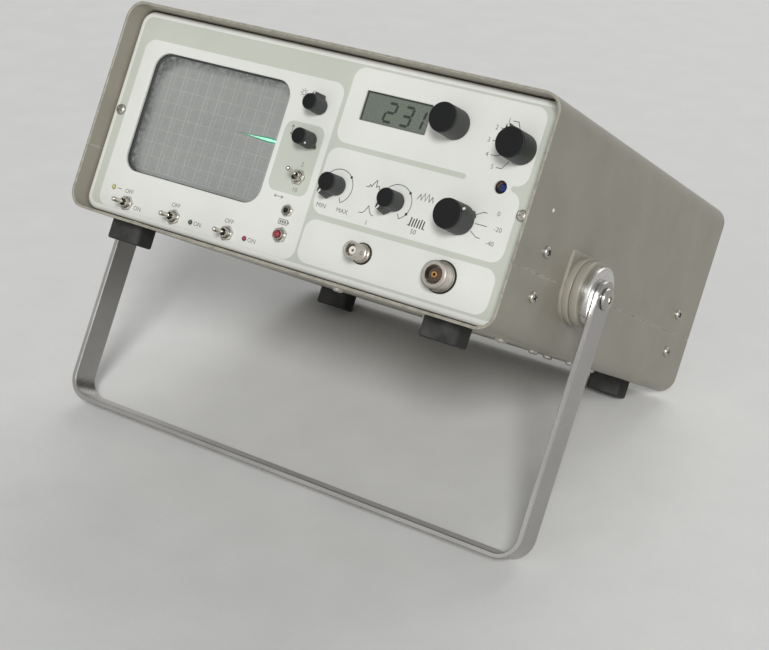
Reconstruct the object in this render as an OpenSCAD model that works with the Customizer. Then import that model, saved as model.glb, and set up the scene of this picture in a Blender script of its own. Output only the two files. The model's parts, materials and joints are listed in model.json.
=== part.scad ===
// Portable spectrum analyzer: a two-cover cabinet that leans back on a swinging bail, with a
// cathode-ray screen, a number readout, knobs, toggles and jacks on a recessed front panel.
// Millimetres. The cabinet is drawn square, with X to the right, Y back from the front rim and
// Z up from the underside of the bottom cover. stand() then leans it onto its bail and rear feet.

/* [Cabinet] */
// Width over the covers
cabinet_w = 292; // [286:1:330]
// Height over the covers, without the feet
cabinet_h = 128; // [126:1:150]
// Depth over the covers
cabinet_d = 292; // [280:1:340]
// Sheet thickness of the covers
cover_wall = 1.6; // [1.2:0.1:2.2]
// Outer radius of the long cabinet corners
corner_r = 11; // [8:0.5:14]
// Height of the seam between the top and bottom covers
seam_z = 38; // [36:0.5:42]
// Open gap along the seam
seam_gap = 0.4; // [0.2:0.1:1]
// How far the covers stand out past the front panel
hood_depth = 12; // [8:0.5:16]
// How far the covers stand out past the rear panel
rear_hood = 10; // [6:0.5:16]

/* [Panels] */
// Sheet thickness of the front and rear panels
panel_t = 1.6; // [1.2:0.1:2]
// Gap between the panels and the covers
panel_gap = 0.6; // [0.4:0.1:1]
// Radius of the front panel's rolled edge
panel_roll = 2.6; // [2.2:0.1:4]
// Depth of the front panel's turned-back flange
panel_flange = 6; // [5:0.5:9]
// Height of the panel screws
panel_screw_z = 63.5; // [60:0.5:68]
// Distance of the panel screws from the outside of the covers
panel_screw_inset = 8.5; // [8:0.1:9.2]

/* [Rails] */
// Width of the side rails, inward from the covers
rail_w = 12; // [11:0.5:14]
// Height of the side rails across the seam
rail_h = 34; // [30:1:40]
// Sheet thickness of the side rails
rail_t = 2; // [1.5:0.1:3]
// Height of each cover screw above or below the seam
cover_screw_rise = 12.5; // [9:0.5:13]
// Distance of the cover screws from the cabinet's front and rear rims
cover_screw_inset = 35; // [28:1:50]

/* [Screws] */
// Shank diameter of the cabinet screws
screw_d = 3.5; // [3:0.1:4]
// Head diameter of the cabinet screws
screw_head_d = 6.5; // [6:0.1:7.5]
// Head height of the cabinet screws
screw_head_h = 2.2; // [1.6:0.1:2.8]

/* [Feet] */
// Width of a foot
foot_w = 24; // [18:1:32]
// Depth of a foot
foot_d = 16; // [12:1:24]
// Height of a foot
foot_h = 11.7; // [8:0.1:16]
// Distance of the feet from the middle of the cabinet
foot_x = 110; // [95:1:118]
// Distance of the feet's centres from the front and rear rims
foot_inset = 22; // [18:1:32]

/* [Bail] */
// Distance of the bail's hub from the front rim
hub_y = 86; // [76:1:100]
// Diameter of the hub discs
hub_d = 38; // [34:0.5:44]
// Width of the plate under each hub, along the cabinet
hub_plate_w = 38; // [30:1:50]
// Height of the plate under each hub
hub_plate_h = 41; // [34:1:50]
// Thickness of the plate under each hub
hub_plate_t = 1.5; // [1:0.1:2.5]
// Thickness of the fixed hub disc
fixed_hub_t = 4.2; // [3:0.1:6]
// Thickness of the hub disc that turns with the bail
moving_hub_t = 4.9; // [3:0.1:7]
// Thickness of the bright disc between hub and arm
bright_disc_t = 5.1; // [3:0.1:7]
// Diameter of the bright disc
bright_disc_d = 34; // [30:0.5:38]
// Running gap between the fixed and the moving hub discs
hub_gap = 0.3; // [0.2:0.1:0.8]
// Diameter of the pivot bolts
pivot_d = 8; // [6:0.5:10]
// Width of the bail's flat bar
bail_w = 20; // [16:0.5:24]
// Thickness of the bail's flat bar
bail_t = 3.2; // [2.5:0.1:5]
// Distance from the hub's axis to the underside of the crossbar
bail_drop = 154; // [148:1:180]
// Outer bend radius at the bail's corners
bail_bend = 15; // [10:0.5:22]

/* [Screen] */
// Width of the screen window
window_w = 100; // [90:1:103]
// Height of the screen window
window_h = 73; // [64:1:76]
// Corner radius of the screen window
window_r = 10; // [6:0.5:14]
// Distance of the window from the left side of the cabinet
window_inset = 22; // [21:0.5:24]
// Height of the window's centre
window_z = 66.7; // [64:0.1:69]
// Overlap of the glass behind the window's edge
glass_margin = 4; // [3:0.5:4.5]
// Thickness of the graticule filter
filter_t = 2; // [1.5:0.1:3]
// Thickness of the tube's faceplate skirt
face_t = 9; // [6:0.5:12]
// Length of the tube from faceplate to base
tube_len = 200; // [170:1:215]
// Diameter of the tube's neck
neck_d = 22; // [18:1:28]
// Diameter of the deflection yoke
yoke_d = 46; // [40:1:49]

/* [Readout] */
// Width of the readout window
lcd_w = 43; // [36:1:46]
// Height of the readout window
lcd_h = 17; // [14:0.5:20]
// Distance of the readout window's centre from the column of controls
lcd_gap = 47.6; // [46:0.2:49]
// Distance of the readout window's centre from the top of the cabinet
lcd_drop = 27.6; // [25:0.2:31]

/* [Knobs] */
// Diameter of a large knob
large_knob_d = 17; // [15:0.5:19]
// Height of a large knob
large_knob_h = 16; // [12:0.5:20]
// Diameter of a medium knob
medium_knob_d = 11; // [10:0.5:14]
// Height of a medium knob
medium_knob_h = 12; // [9:0.5:16]
// Diameter of a small knob
small_knob_d = 9.6; // [9:0.2:11]
// Height of a small knob
small_knob_h = 12; // [9:0.5:16]
// Gap between the knobs and the panel
knob_gap = 0.8; // [0.5:0.1:1.5]
// How far a large pointer nose stands out past its knob at the top
large_nose = 2; // [1.5:0.1:3]
// How far a large pointer nose stands out past its knob at the panel
large_nose_foot = 1; // [0.8:0.1:3]
// How far a medium pointer nose stands out past its knob at the top
medium_nose = 2.5; // [1.5:0.1:3.5]
// How far a medium pointer nose stands out past its knob at the panel
medium_nose_foot = 4.2; // [2:0.1:5]
// How far a small pointer nose stands out past its knob at the top
small_nose = 1.6; // [1.2:0.1:2.5]
// How far a small pointer nose stands out past its knob at the panel
small_nose_foot = 1.9; // [1:0.1:3]
// Shaft diameter under the large knobs
large_shaft_d = 6; // [5:0.1:6.4]
// Shaft diameter under the other knobs
small_shaft_d = 3.2; // [2.8:0.1:3.4]

/* [Toggles] */
// Length of a toggle lever from its pivot
lever_len = 12; // [9:0.5:16]
// Diameter of a toggle lever at its tip
lever_d = 2.9; // [2.4:0.1:3.2]
// Swing of a toggle lever to either side of the middle
lever_swing = 13; // [8:1:15]
// How far a toggle's bushing stands out of the panel
toggle_bushing_h = 4.5; // [3.5:0.1:6]
// Width of a toggle's body
toggle_body_w = 8; // [6.5:0.1:9]
// Height of a toggle's body
toggle_body_h = 11.4; // [9:0.1:11.6]
// Depth of a toggle's body behind the panel
toggle_body_len = 9.5; // [6:0.1:14]

/* [Push button] */
// Diameter of the push button
button_d = 4; // [3.2:0.1:4.2]
// How far the button stands out of its bushing
button_rise = 3.5; // [2.5:0.1:5]
// Travel of the push button
button_travel = 1.5; // [0.8:0.1:2]

/* [Jacks] */
// Thread diameter of the larger coaxial jack
n_jack_d = 15.88; // [14:0.02:17]
// How far the larger coaxial jack stands out of the panel
n_jack_h = 10; // [8:0.5:13]
// Barrel diameter of the smaller coaxial jack
bnc_jack_d = 9.6; // [9:0.1:10.5]
// How far the smaller coaxial jack stands out of the panel
bnc_jack_h = 13.5; // [11:0.5:16]

/* [Controls beside the screen] */
// Distance of this column of controls from the screen window
column_gap = 22; // [20:0.1:25]
// Distance of the intensity knob from the top of the cabinet
intensity_drop = 34.5; // [28:0.1:38]
// Distance of the trace position knob from the top of the cabinet
position_drop = 54.3; // [52:0.1:57]
// Place of the scale toggle on the way from the sideways trimmer up to the position knob
scale_share = 0.48; // [0.42:0.01:0.55]
// Height of the sideways trimmer
sideways_z = 32.5; // [31:0.1:36]
// Height of the push button
monitor_z = 18.3; // [13:0.1:19]

/* [Controls at the right] */
// Place of the tuning knob on the way from the readout window to the band knob
tuning_share = 0.287; // [0.26:0.001:0.4]
// Distance of the tuning knob from the top of the cabinet
tuning_drop = 26.5; // [22:0.1:32]
// Distance of the band knob from the right side of the cabinet
band_inset = 20; // [18:0.1:28]
// Distance of the band knob from the top of the cabinet
band_drop = 31; // [26:0.1:34]
// Distance of the zero trimmer from the right side of the cabinet
zero_inset = 25.7; // [22:0.1:33]
// Distance of the zero trimmer from the top of the cabinet
zero_drop = 52.8; // [51:0.1:55]
// Height of the row of knobs under the readout
knob_row_z = 53.3; // [51:0.1:55]
// Distance of the sweep knob from the column of controls
sweep_gap = 26.4; // [22:0.1:36]
// Place of the span knob on the way from the sweep knob to the reference knob
span_share = 0.486; // [0.4:0.001:0.55]
// Distance of the reference knob from the right side of the cabinet
reference_inset = 42.4; // [36:0.1:50]
// Height of the row of jacks
jack_row_z = 21.3; // [19:0.1:23]
// Place of the smaller jack on the way from the column of controls to the larger jack
bnc_share = 0.518; // [0.4:0.001:0.6]
// Distance of the larger jack from the right side of the cabinet
n_jack_inset = 43; // [34:0.1:56]

/* [Controls under the screen] */
// Height of the row of toggles
toggle_row_z = 10.7; // [10.6:0.1:11.5]
// Distance of the power toggle from the left side of the cabinet
power_inset = 33.6; // [30:0.1:40]
// Distance of the charge toggle from the left side of the cabinet
charge_inset = 69.5; // [61:0.1:76]
// Distance of the supply toggle from the left side of the cabinet
supply_inset = 108.9; // [101:0.1:111]
// Diameter of the panel lamps
lamp_d = 3; // [2.5:0.1:4]
// Distance of the power lamp to the left of its toggle
power_lamp_side = 13.3; // [10:0.1:15]
// Height of the power lamp over its toggle
power_lamp_rise = 7.2; // [4:0.1:8]
// Distance of the other lamps to the right of their toggles
lamp_side = 12.2; // [9:0.1:16]

/* [Inside] */
// Width of the battery
battery_w = 86; // [60:1:90]
// Depth of the battery
battery_d = 140; // [100:1:150]
// Height of the battery
battery_h = 38; // [30:1:39]
// Width of the main circuit board
board_w = 74; // [70:1:74]
// Depth of the main circuit board
board_d = 190; // [175:1:200]
// Height of the standoffs under the main board
standoff_h = 8; // [7:0.5:12]
// Width of the shielded tuner box
tuner_w = 44; // [32:1:44]
// Depth of the shielded tuner box
tuner_d = 130; // [100:1:135]
// Height of the shielded tuner box
tuner_h = 34; // [24:1:40]
// Width of the transformer
transformer_w = 44; // [32:1:44]
// Depth of the transformer
transformer_d = 46; // [36:1:50]
// Height of the transformer
transformer_h = 40; // [30:1:50]

/* [Hidden] */
$fn = 48;

// Clearances
cut = 1;
run_gap = 0.05;
loose_gap = 0.3;
hole_gap = 0.2;

// Colours
putty = [0.72, 0.70, 0.63];
putty_light = [0.80, 0.78, 0.70];
panel_grey = [0.73, 0.76, 0.70];
bright_metal = [0.80, 0.80, 0.80];
dull_metal = [0.60, 0.60, 0.58];
black = [0.08, 0.08, 0.08];
board_green = [0.10, 0.32, 0.16];

// Cabinet
half_w = cabinet_w / 2;
inner_half_w = half_w - cover_wall;
panel_back = hood_depth + panel_t;
panel_half_w = inner_half_w - panel_gap;
panel_inset = cover_wall + panel_gap;
rear_face = cabinet_d - rear_hood - panel_t;
rail_start = hood_depth + panel_flange + hole_gap;
rail_low = seam_z - rail_h / 2;
rail_inner_x = inner_half_w - rail_w;
ear_t = 3;
ear_top = panel_screw_z + screw_head_d;
ear_outer_x = panel_half_w - panel_roll - hole_gap;
panel_screw_x = half_w - panel_screw_inset;
screw_hole_d = screw_d + 2 * hole_gap;
tapped_d = screw_d + 2 * run_gap;
screw_crown = 1;
screw_reach = 2;
cover_screw_len = cover_wall + rail_t + screw_reach;
cover_screw_y = [cover_screw_inset, cabinet_d - cover_screw_inset];
foot_y = [foot_inset, cabinet_d - foot_inset];
foot_corner_r = 3;
foot_recess_gap = 0.5;
foot_screw_depth = foot_h / 2;
foot_recess_d = screw_head_d + 2 * foot_recess_gap;

// Bail
hub_base_x = half_w + hub_plate_t;
moving_hub_x = hub_base_x + fixed_hub_t + hub_gap;
bright_disc_x = moving_hub_x + moving_hub_t;
arm_x = bright_disc_x + bright_disc_t;
bail_half_w = arm_x + bail_t;
pivot_head_step = 2.4;
pivot_head_d = pivot_d + 2 * pivot_head_step;
pivot_head_crown = 1.3;
pivot_head_h = 2.4;
pivot_bore_d = pivot_d + 2 * run_gap;
crossbar_z = seam_z - bail_drop;

// Screen
window_x = window_inset + window_w / 2 - half_w;
glass_w = window_w + 2 * glass_margin;
glass_h = window_h + 2 * glass_margin;
glass_r = window_r + glass_margin;
face_y = panel_back + filter_t;
funnel_len = 104;
funnel_end_y = face_y + funnel_len;
clamp_wall = 2.4;
clamp_lip = 3;
clamp_back_t = 2;
funnel_gap = 0.5;
funnel_w = glass_w - 2 * (clamp_lip + funnel_gap);
funnel_h = glass_h - 2 * (clamp_lip + funnel_gap);
yoke_len = 28;
yoke_setback = 6;
socket_wall = 4;
socket_d = neck_d + 2 * socket_wall;
socket_len = 16;
socket_cover = 8;

// Readout
lcd_lip = 2;
lcd_t = 2.8;
lcd_frame_wall = 1.2;

// Controls
nut_t = 2;
bushing_over_nut = 0.5;
large_nut_wall = 1.3;
small_nut_wall = 0.8;
bushing_wall = 0.8;
large_bushing_d = large_shaft_d + 2 * bushing_wall;
large_nut = large_bushing_d + 2 * large_nut_wall;
small_bushing_d = small_shaft_d + 2 * bushing_wall;
small_nut = small_bushing_d + 2 * small_nut_wall;
nut_cavity_h = nut_t + bushing_over_nut + loose_gap;
knob_cap_t = 2.5;
knob_edge = 0.6;
knob_taper = 0.2;
nose_drop = 0.7;
nose_shoulder = 0.8;
nose_tip = 1;
pot_body_d = 10;
pot_body_len = 9;
switch_body_d = 22;
switch_body_len = 18;
shaft_inside = 5;
toggle_bushing_d = 6;
toggle_nut = 8;
toggle_bore_d = 4.2;
lever_ball_d = toggle_bore_d - 2 * loose_gap;
lever_neck_d = 2;
lever_pivot_depth = 2.2;
lever_pivot_h = toggle_bushing_h - lever_pivot_depth;
button_bushing_d = 6;
button_bushing_h = 3.5;
button_body_d = 9.5;
button_body_len = 12;
button_inside = 5;
button_bore_d = button_d + 2 * loose_gap;
zero_hole_d = 7.2;
zero_body_d = 11;
zero_body_len = 8;
zero_rotor_d = 4.2;
lamp_flange_step = 0.5;
lamp_flange_d = lamp_d + 2 * lamp_flange_step;
lamp_flange_t = 1;
lamp_body_len = 4;
lamp_dome = 1.2;

// Zero trimmer and jacks
zero_recess = 1.5;
zero_pocket = 4;
jack_wall = 1.2;
jack_mouth = 8;
jack_flange_t = 1.6;
jack_back_len = 14;
bnc_flange_step = 1.3;
n_flange_step = 1.2;
jack_nut_step = 2;
bnc_thread_step = 0.3;
n_thread_step = 0.5;

// Places of the controls
function between(a, b, share) = a + share * (b - a);
column_x = window_x + window_w / 2 + column_gap;
readout_at = [column_x + lcd_gap, cabinet_h - lcd_drop];
band_at = [half_w - band_inset, cabinet_h - band_drop];
tuning_at = [
    between(readout_at[0] + lcd_w / 2, band_at[0], tuning_share),
    cabinet_h - tuning_drop
];
zero_at = [half_w - zero_inset, cabinet_h - zero_drop];
intensity_at = [column_x, cabinet_h - intensity_drop];
position_at = [column_x, cabinet_h - position_drop];
sideways_at = [column_x, sideways_z];
scale_at = [column_x, between(sideways_z, position_at[1], scale_share)];
monitor_at = [column_x, monitor_z];
sweep_at = [column_x + sweep_gap, knob_row_z];
reference_at = [half_w - reference_inset, knob_row_z];
span_at = [between(sweep_at[0], reference_at[0], span_share), knob_row_z];
n_at = [half_w - n_jack_inset, jack_row_z];
bnc_at = [between(column_x, n_at[0], bnc_share), jack_row_z];
power_at = [power_inset - half_w, toggle_row_z];
charge_at = [charge_inset - half_w, toggle_row_z];
supply_at = [supply_inset - half_w, toggle_row_z];
lamp_at = [
    power_at + [-power_lamp_side, power_lamp_rise],
    charge_at + [lamp_side, 0],
    supply_at + [lamp_side, 0]
];
toggle_places = [power_at, charge_at, supply_at, scale_at];
small_pot_places = [sweep_at, span_at, intensity_at, position_at, sideways_at];
switch_places = [band_at, reference_at];
bnc_shank_d = bnc_jack_d - 2 * bnc_thread_step;
n_shank_d = n_jack_d - 2 * n_thread_step;
panel_holes = concat(
    [for (at = toggle_places) [at, toggle_bushing_d + 2 * hole_gap]],
    [for (at = small_pot_places) [at, small_bushing_d + 2 * hole_gap]],
    [for (at = concat(switch_places, [tuning_at])) [at, large_bushing_d + 2 * hole_gap]],
    [for (at = lamp_at) [at, lamp_d + 2 * hole_gap]],
    [
        [monitor_at, button_bushing_d + 2 * hole_gap],
        [zero_at, zero_hole_d],
        [bnc_at, bnc_shank_d + 2 * hole_gap],
        [n_at, n_shank_d + 2 * hole_gap]
    ]
);

// Pointer angles, from the right and turning left as seen from the front
band_angle = 116;
reference_angle = 30;
sweep_angle = 240;
span_angle = 240;
intensity_angle = 80;
position_angle = -32;

// Rear panel
vent_count = 9;
vent_w = 3;
vent_h = 40;
vent_pitch = 9;
vent_x = -100;
vent_z = 72;
inlet_at = [70, 45];
inlet_size = [27, 19.5];
inlet_depth = 18;
inlet_flange = 4;
inlet_flange_t = 2;
inlet_wall = 1.5;
inlet_pin = [2, 4];
inlet_pin_len = 10;
inlet_pin_at = [[-7, -1], [0, 3], [7, -1]];

// Inside
floor_z = cover_wall;
board_t = 1.6;
standoff_d = 7;
standoff_inset = 6;
rail_clearance = 3;
tuner_x = rail_inner_x - rail_clearance - tuner_w;
transformer_x = rail_inner_x - rail_clearance - transformer_w;
transformer_setback = 36.4;
transformer_gap = 12;
transformer_y = rear_face - transformer_setback - transformer_d;
tuner_front_y = transformer_y - transformer_gap - tuner_d;
board_gap = 5.4;
board_setback = 30.4;
board_x = tuner_x - board_gap - board_w;
board_front_y = rear_face - board_setback - board_d;
battery_side = 16.4;
battery_setback = 28.4;
battery_x = battery_side - rail_inner_x;
battery_front_y = rear_face - battery_setback - battery_d;
base_screw_len = 6;

standoff_at = [
    for (x = [standoff_inset, board_w - standoff_inset])
    for (y = [standoff_inset, board_d - standoff_inset])
    [board_x + x, board_front_y + y]
];
tuner_screw_at = [
    for (x = [standoff_inset, tuner_w - standoff_inset])
    for (y = [standoff_inset, tuner_d - standoff_inset])
    [tuner_x + x, tuner_front_y + y]
];
transformer_screw_at = [
    for (y = [standoff_inset, transformer_d - standoff_inset])
    [transformer_x + transformer_w / 2, transformer_y + y]
];
foot_at = [for (x = [-foot_x, foot_x]) for (y = foot_y) [x, y]];
base_screw_at = concat(standoff_at, tuner_screw_at, transformer_screw_at);

// Stance: the rear feet and the bail's crossbar touch the ground together
foot_edge_y = foot_y[1] + foot_d / 2;
bail_edge_y = hub_y + bail_w / 2;
tilt = atan((-foot_h - crossbar_z) / (foot_edge_y - bail_edge_y));
stand_z = foot_edge_y * sin(tilt) + foot_h * cos(tilt);
stand_front = min(0, (hub_y - bail_w / 2) * cos(tilt) + crossbar_z * sin(tilt));
stand_back = cabinet_d * cos(tilt) + cabinet_h * sin(tilt);
stand_y = -(stand_front + stand_back) / 2;

// Leans the square cabinet back onto its bail and rear feet
module stand() {
    translate([0, stand_y, stand_z]) rotate([-tilt, 0, 0]) children();
}

// Rectangle with round corners, about the origin
module round_rect(w, h, r) {
    square([w - 2 * r, h], center = true);
    square([w, h - 2 * r], center = true);
    for (x = [-1, 1], y = [-1, 1])
        translate([x * (w / 2 - r), y * (h / 2 - r)]) circle(r);
}

// A flat outline drawn in X and Z, run back from y
module run_back(y, len) {
    translate([0, y + len, 0]) rotate([90, 0, 0]) linear_extrude(len) children();
}

// Outline of the cabinet, drawn in by inset all round
module cabinet_outline(inset) {
    translate([0, cabinet_h / 2])
        round_rect(cabinet_w - 2 * inset, cabinet_h - 2 * inset, corner_r - inset);
}

// Puts a piece on the panel's face: its Z points out at the user, its Y up
module on_panel(at) {
    translate([at[0], hood_depth, at[1]]) rotate([90, 0, 0]) children();
}

// Puts a piece on both hub axes, x out from the middle: its Z points away from the cabinet
module at_hubs(x) {
    for (side = [-1, 1])
        translate([side * x, hub_y, seam_z]) rotate([0, side * 90, 0]) children();
}

// A six-sided nut, across its flats
module nut(flats, bore_d, h) {
    difference() {
        cylinder(d = flats / cos(30), h = h, $fn = 6);
        translate([0, 0, -cut]) cylinder(d = bore_d, h = h + 2 * cut);
    }
}

// A pan-head screw whose head stands on the origin and whose shank points down
module pan_screw(len) {
    cylinder(d1 = screw_head_d, d2 = screw_head_d - 2 * screw_crown, h = screw_head_h);
    translate([0, 0, -len]) cylinder(d = screw_d, h = len + cut);
}

// Positions of the cover screws on both sides: Z points out of the cover
module at_cover_screws() {
    for (side = [-1, 1], y = cover_screw_y, rise = [-1, 1])
        translate([side * half_w, y, seam_z + rise * cover_screw_rise])
            rotate([0, side * 90, 0]) children();
}

// Positions of the panel screws, front and rear: Z points out of the panel
module at_panel_screws(rear) {
    for (side = [-1, 1])
        translate([side * panel_screw_x, rear ? rear_face + panel_t : hood_depth, panel_screw_z])
            rotate([rear ? -90 : 90, 0, 0]) children();
}

// Positions of the screws under the bottom cover: Z points down
module at_base_screws() {
    for (at = base_screw_at)
        translate([at[0], at[1], 0]) rotate([180, 0, 0]) children();
}

// Cabinet covers
module cover_wall_outline() {
    difference() {
        cabinet_outline(0);
        cabinet_outline(cover_wall);
    }
}

module cover_holes() {
    at_cover_screws() translate([0, 0, -cover_wall - cut])
        cylinder(d = screw_hole_d, h = cover_wall + 2 * cut);
    at_hubs(half_w) translate([0, 0, -cover_wall - cut])
        cylinder(d = pivot_d + 2 * hole_gap, h = cover_wall + 2 * cut);
}

module top_cover() {
    color(putty) difference() {
        run_back(0, cabinet_d) intersection() {
            cover_wall_outline();
            translate([-cabinet_w, seam_z + seam_gap / 2]) square([2 * cabinet_w, cabinet_h]);
        }
        cover_holes();
    }
}

module bottom_cover() {
    color(putty) difference() {
        run_back(0, cabinet_d) intersection() {
            cover_wall_outline();
            translate([-cabinet_w, seam_z - seam_gap / 2 - cabinet_h])
                square([2 * cabinet_w, cabinet_h]);
        }
        cover_holes();
        for (at = concat(base_screw_at, foot_at))
            translate([at[0], at[1], -cut]) cylinder(d = screw_hole_d, h = cover_wall + 2 * cut);
    }
}

// Front and rear panels
// Solid with a rolled front edge, drawn in by inset from the panel's outside
module panel_pillow(inset, depth) {
    roll = panel_roll - inset;
    hull() {
        for (step = [0 : 30 : 90]) {
            start = inset + roll * (1 - sin(step));
            run_back(hood_depth + start, depth - start)
                cabinet_outline(panel_inset + inset + roll * (1 - cos(step)), $fn = 32);
        }
    }
}

module front_panel() {
    color(panel_grey) difference() {
        panel_pillow(0, panel_flange);
        panel_pillow(panel_t, panel_flange + cut);
        run_back(hood_depth - cut, panel_t + 2 * cut) translate([window_x, window_z])
            round_rect(window_w, window_h, window_r);
        run_back(hood_depth - cut, panel_t + 2 * cut) translate(readout_at)
            square([lcd_w, lcd_h], center = true);
        for (hole = panel_holes)
            on_panel(hole[0]) translate([0, 0, -panel_t - cut])
                cylinder(d = hole[1], h = panel_t + 2 * cut);
        at_panel_screws(false) translate([0, 0, -panel_t - cut])
            cylinder(d = screw_hole_d, h = panel_t + 2 * cut);
    }
}

module rear_panel() {
    color(putty) difference() {
        run_back(rear_face, panel_t) cabinet_outline(panel_inset);
        at_panel_screws(true) translate([0, 0, -panel_t - cut])
            cylinder(d = screw_hole_d, h = panel_t + 2 * cut);
        run_back(rear_face - cut, panel_t + 2 * cut) {
            translate(inlet_at)
                square(inlet_size + [2 * hole_gap, 2 * hole_gap], center = true);
            for (i = [0 : vent_count - 1])
                translate([vent_x + i * vent_pitch, vent_z]) square([vent_w, vent_h], center = true);
        }
    }
}

// Side rails with an ear at each end for the panel screws
module rail_outline() {
    difference() {
        translate([rail_inner_x, rail_low]) square([rail_w, rail_h]);
        translate([rail_inner_x - cut, rail_low + rail_t])
            square([rail_w - rail_t + cut, rail_h - 2 * rail_t]);
    }
}

module ear(y, len, outer_x) {
    translate([rail_inner_x, y, rail_low])
        cube([outer_x - rail_inner_x, len, ear_top - rail_low]);
}

module one_rail() {
    run_back(rail_start, rear_face - rail_start) rail_outline();
    ear(panel_back, rail_start - panel_back, ear_outer_x);
    ear(rail_start, ear_t, inner_half_w);
    ear(rear_face - ear_t, ear_t, inner_half_w);
}

module side_rails() {
    ear_hole = rail_start + ear_t - panel_back + 2 * cut;
    color(dull_metal) difference() {
        union() {
            one_rail();
            mirror([1, 0, 0]) one_rail();
        }
        at_panel_screws(false) translate([0, 0, -panel_t - ear_hole])
            cylinder(d = tapped_d, h = ear_hole + cut);
        at_panel_screws(true) translate([0, 0, -panel_t - ear_t - cut])
            cylinder(d = tapped_d, h = ear_t + 2 * cut);
        at_cover_screws() translate([0, 0, -cover_wall - rail_w / 2])
            cylinder(d = tapped_d, h = rail_w / 2 + cut);
        at_hubs(half_w) translate([0, 0, -cover_wall - rail_t - cut])
            cylinder(d = pivot_d + 2 * run_gap, h = rail_t + 2 * cut);
    }
}

// Feet and screws
module feet() {
    color(black) for (at = foot_at) translate([at[0], at[1], -foot_h]) difference() {
        linear_extrude(foot_h) round_rect(foot_w, foot_d, foot_corner_r);
        translate([0, 0, -cut]) cylinder(d = foot_recess_d, h = foot_screw_depth + cut);
        translate([0, 0, -cut]) cylinder(d = screw_hole_d, h = foot_h + 2 * cut);
    }
}

module case_screws() {
    color(bright_metal) {
        at_cover_screws() pan_screw(cover_screw_len);
        at_panel_screws(false) pan_screw(panel_t + ear_t);
        at_panel_screws(true) pan_screw(panel_t + ear_t);
    }
}

module bottom_screws() {
    color(bright_metal) {
        at_base_screws() pan_screw(cover_wall + base_screw_len);
        for (at = foot_at)
            translate([at[0], at[1], foot_screw_depth - foot_h]) rotate([180, 0, 0])
                pan_screw(foot_h - foot_screw_depth + cover_wall + screw_reach);
    }
}

// Hubs and bail
module hub_bases() {
    color(putty_light) at_hubs(half_w) difference() {
        union() {
            translate([-hub_plate_h / 2, -hub_plate_w / 2, 0])
                cube([hub_plate_h, hub_plate_w, hub_plate_t]);
            cylinder(d = hub_d, h = hub_plate_t + fixed_hub_t);
        }
        translate([0, 0, -cut])
            cylinder(d = pivot_d + 2 * run_gap, h = hub_plate_t + fixed_hub_t + 2 * cut);
    }
}

module hub_disc(x, d, t) {
    at_hubs(x) difference() {
        cylinder(d = d, h = t);
        translate([0, 0, -cut]) cylinder(d = pivot_bore_d, h = t + 2 * cut);
    }
}

module moving_hubs() {
    color(putty_light) hub_disc(moving_hub_x, hub_d, moving_hub_t);
}

module bright_discs() {
    color(bright_metal) hub_disc(bright_disc_x, bright_disc_d, bright_disc_t);
}

// The bent bar in X and Z, from the hub down to the crossbar
module bail_outline() {
    corner_z = crossbar_z + bail_bend;
    corner_x = bail_half_w - bail_bend;
    translate([-corner_x, crossbar_z]) square([2 * corner_x, bail_t]);
    for (side = [-1, 1]) {
        translate([side * (arm_x + bail_t / 2) - bail_t / 2, corner_z])
            square([bail_t, seam_z - corner_z]);
        translate([side * corner_x, corner_z]) intersection() {
            difference() {
                circle(bail_bend);
                circle(bail_bend - bail_t);
            }
            translate([side < 0 ? -bail_bend : 0, -bail_bend]) square(bail_bend);
        }
    }
}

module bail() {
    color(bright_metal) difference() {
        union() {
            run_back(hub_y - bail_w / 2, bail_w) bail_outline();
            at_hubs(arm_x) cylinder(d = bail_w, h = bail_t);
        }
        at_hubs(arm_x) translate([0, 0, -cut]) cylinder(d = pivot_bore_d, h = bail_t + 2 * cut);
    }
}

module pivot_bolts() {
    shank_x = inner_half_w - rail_t;
    color(dull_metal) {
        at_hubs(shank_x) cylinder(d = pivot_d, h = bail_half_w - shank_x + hub_gap);
        at_hubs(bail_half_w + hub_gap)
            cylinder(d1 = pivot_head_d, d2 = pivot_head_d - 2 * pivot_head_crown, h = pivot_head_h);
    }
}

// Screen
module at_window() {
    translate([window_x, 0, window_z]) children();
}

module screen_filter() {
    color([0.45, 0.47, 0.46, 0.6]) at_window() run_back(panel_back, filter_t)
        round_rect(glass_w, glass_h, glass_r);
}

module crt_tube() {
    color([0.55, 0.58, 0.57]) at_window() {
        run_back(face_y, face_t) round_rect(glass_w, glass_h, glass_r);
        hull() {
            run_back(face_y + face_t - cut, cut)
                round_rect(funnel_w, funnel_h, glass_r, $fn = 32);
            run_back(funnel_end_y, cut) circle(d = neck_d, $fn = 32);
        }
        run_back(funnel_end_y, face_y + tube_len - funnel_end_y) circle(d = neck_d);
    }
}

module crt_clamp() {
    side = 2 * (clamp_wall + loose_gap);
    depth = filter_t + face_t + loose_gap;
    color(dull_metal) at_window() difference() {
        run_back(panel_back, depth + clamp_back_t)
            round_rect(glass_w + side, glass_h + side, glass_r + side / 2);
        run_back(panel_back - cut, depth + cut)
            round_rect(glass_w + 2 * loose_gap, glass_h + 2 * loose_gap, glass_r + loose_gap);
        run_back(panel_back, depth + clamp_back_t + cut)
            round_rect(glass_w - 2 * clamp_lip, glass_h - 2 * clamp_lip, glass_r - clamp_lip);
    }
}

module crt_yoke() {
    color([0.45, 0.25, 0.12]) at_window() run_back(funnel_end_y + yoke_setback, yoke_len) difference() {
        circle(d = yoke_d);
        circle(d = neck_d + 2 * run_gap);
    }
}

module crt_socket() {
    start = face_y + tube_len - socket_cover;
    color(black) at_window() difference() {
        run_back(start, socket_len) circle(d = socket_d);
        run_back(start - cut, socket_cover + cut) circle(d = neck_d + 2 * run_gap);
    }
}

// Readout
module at_readout() {
    translate([readout_at[0], 0, readout_at[1]]) children();
}

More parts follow.
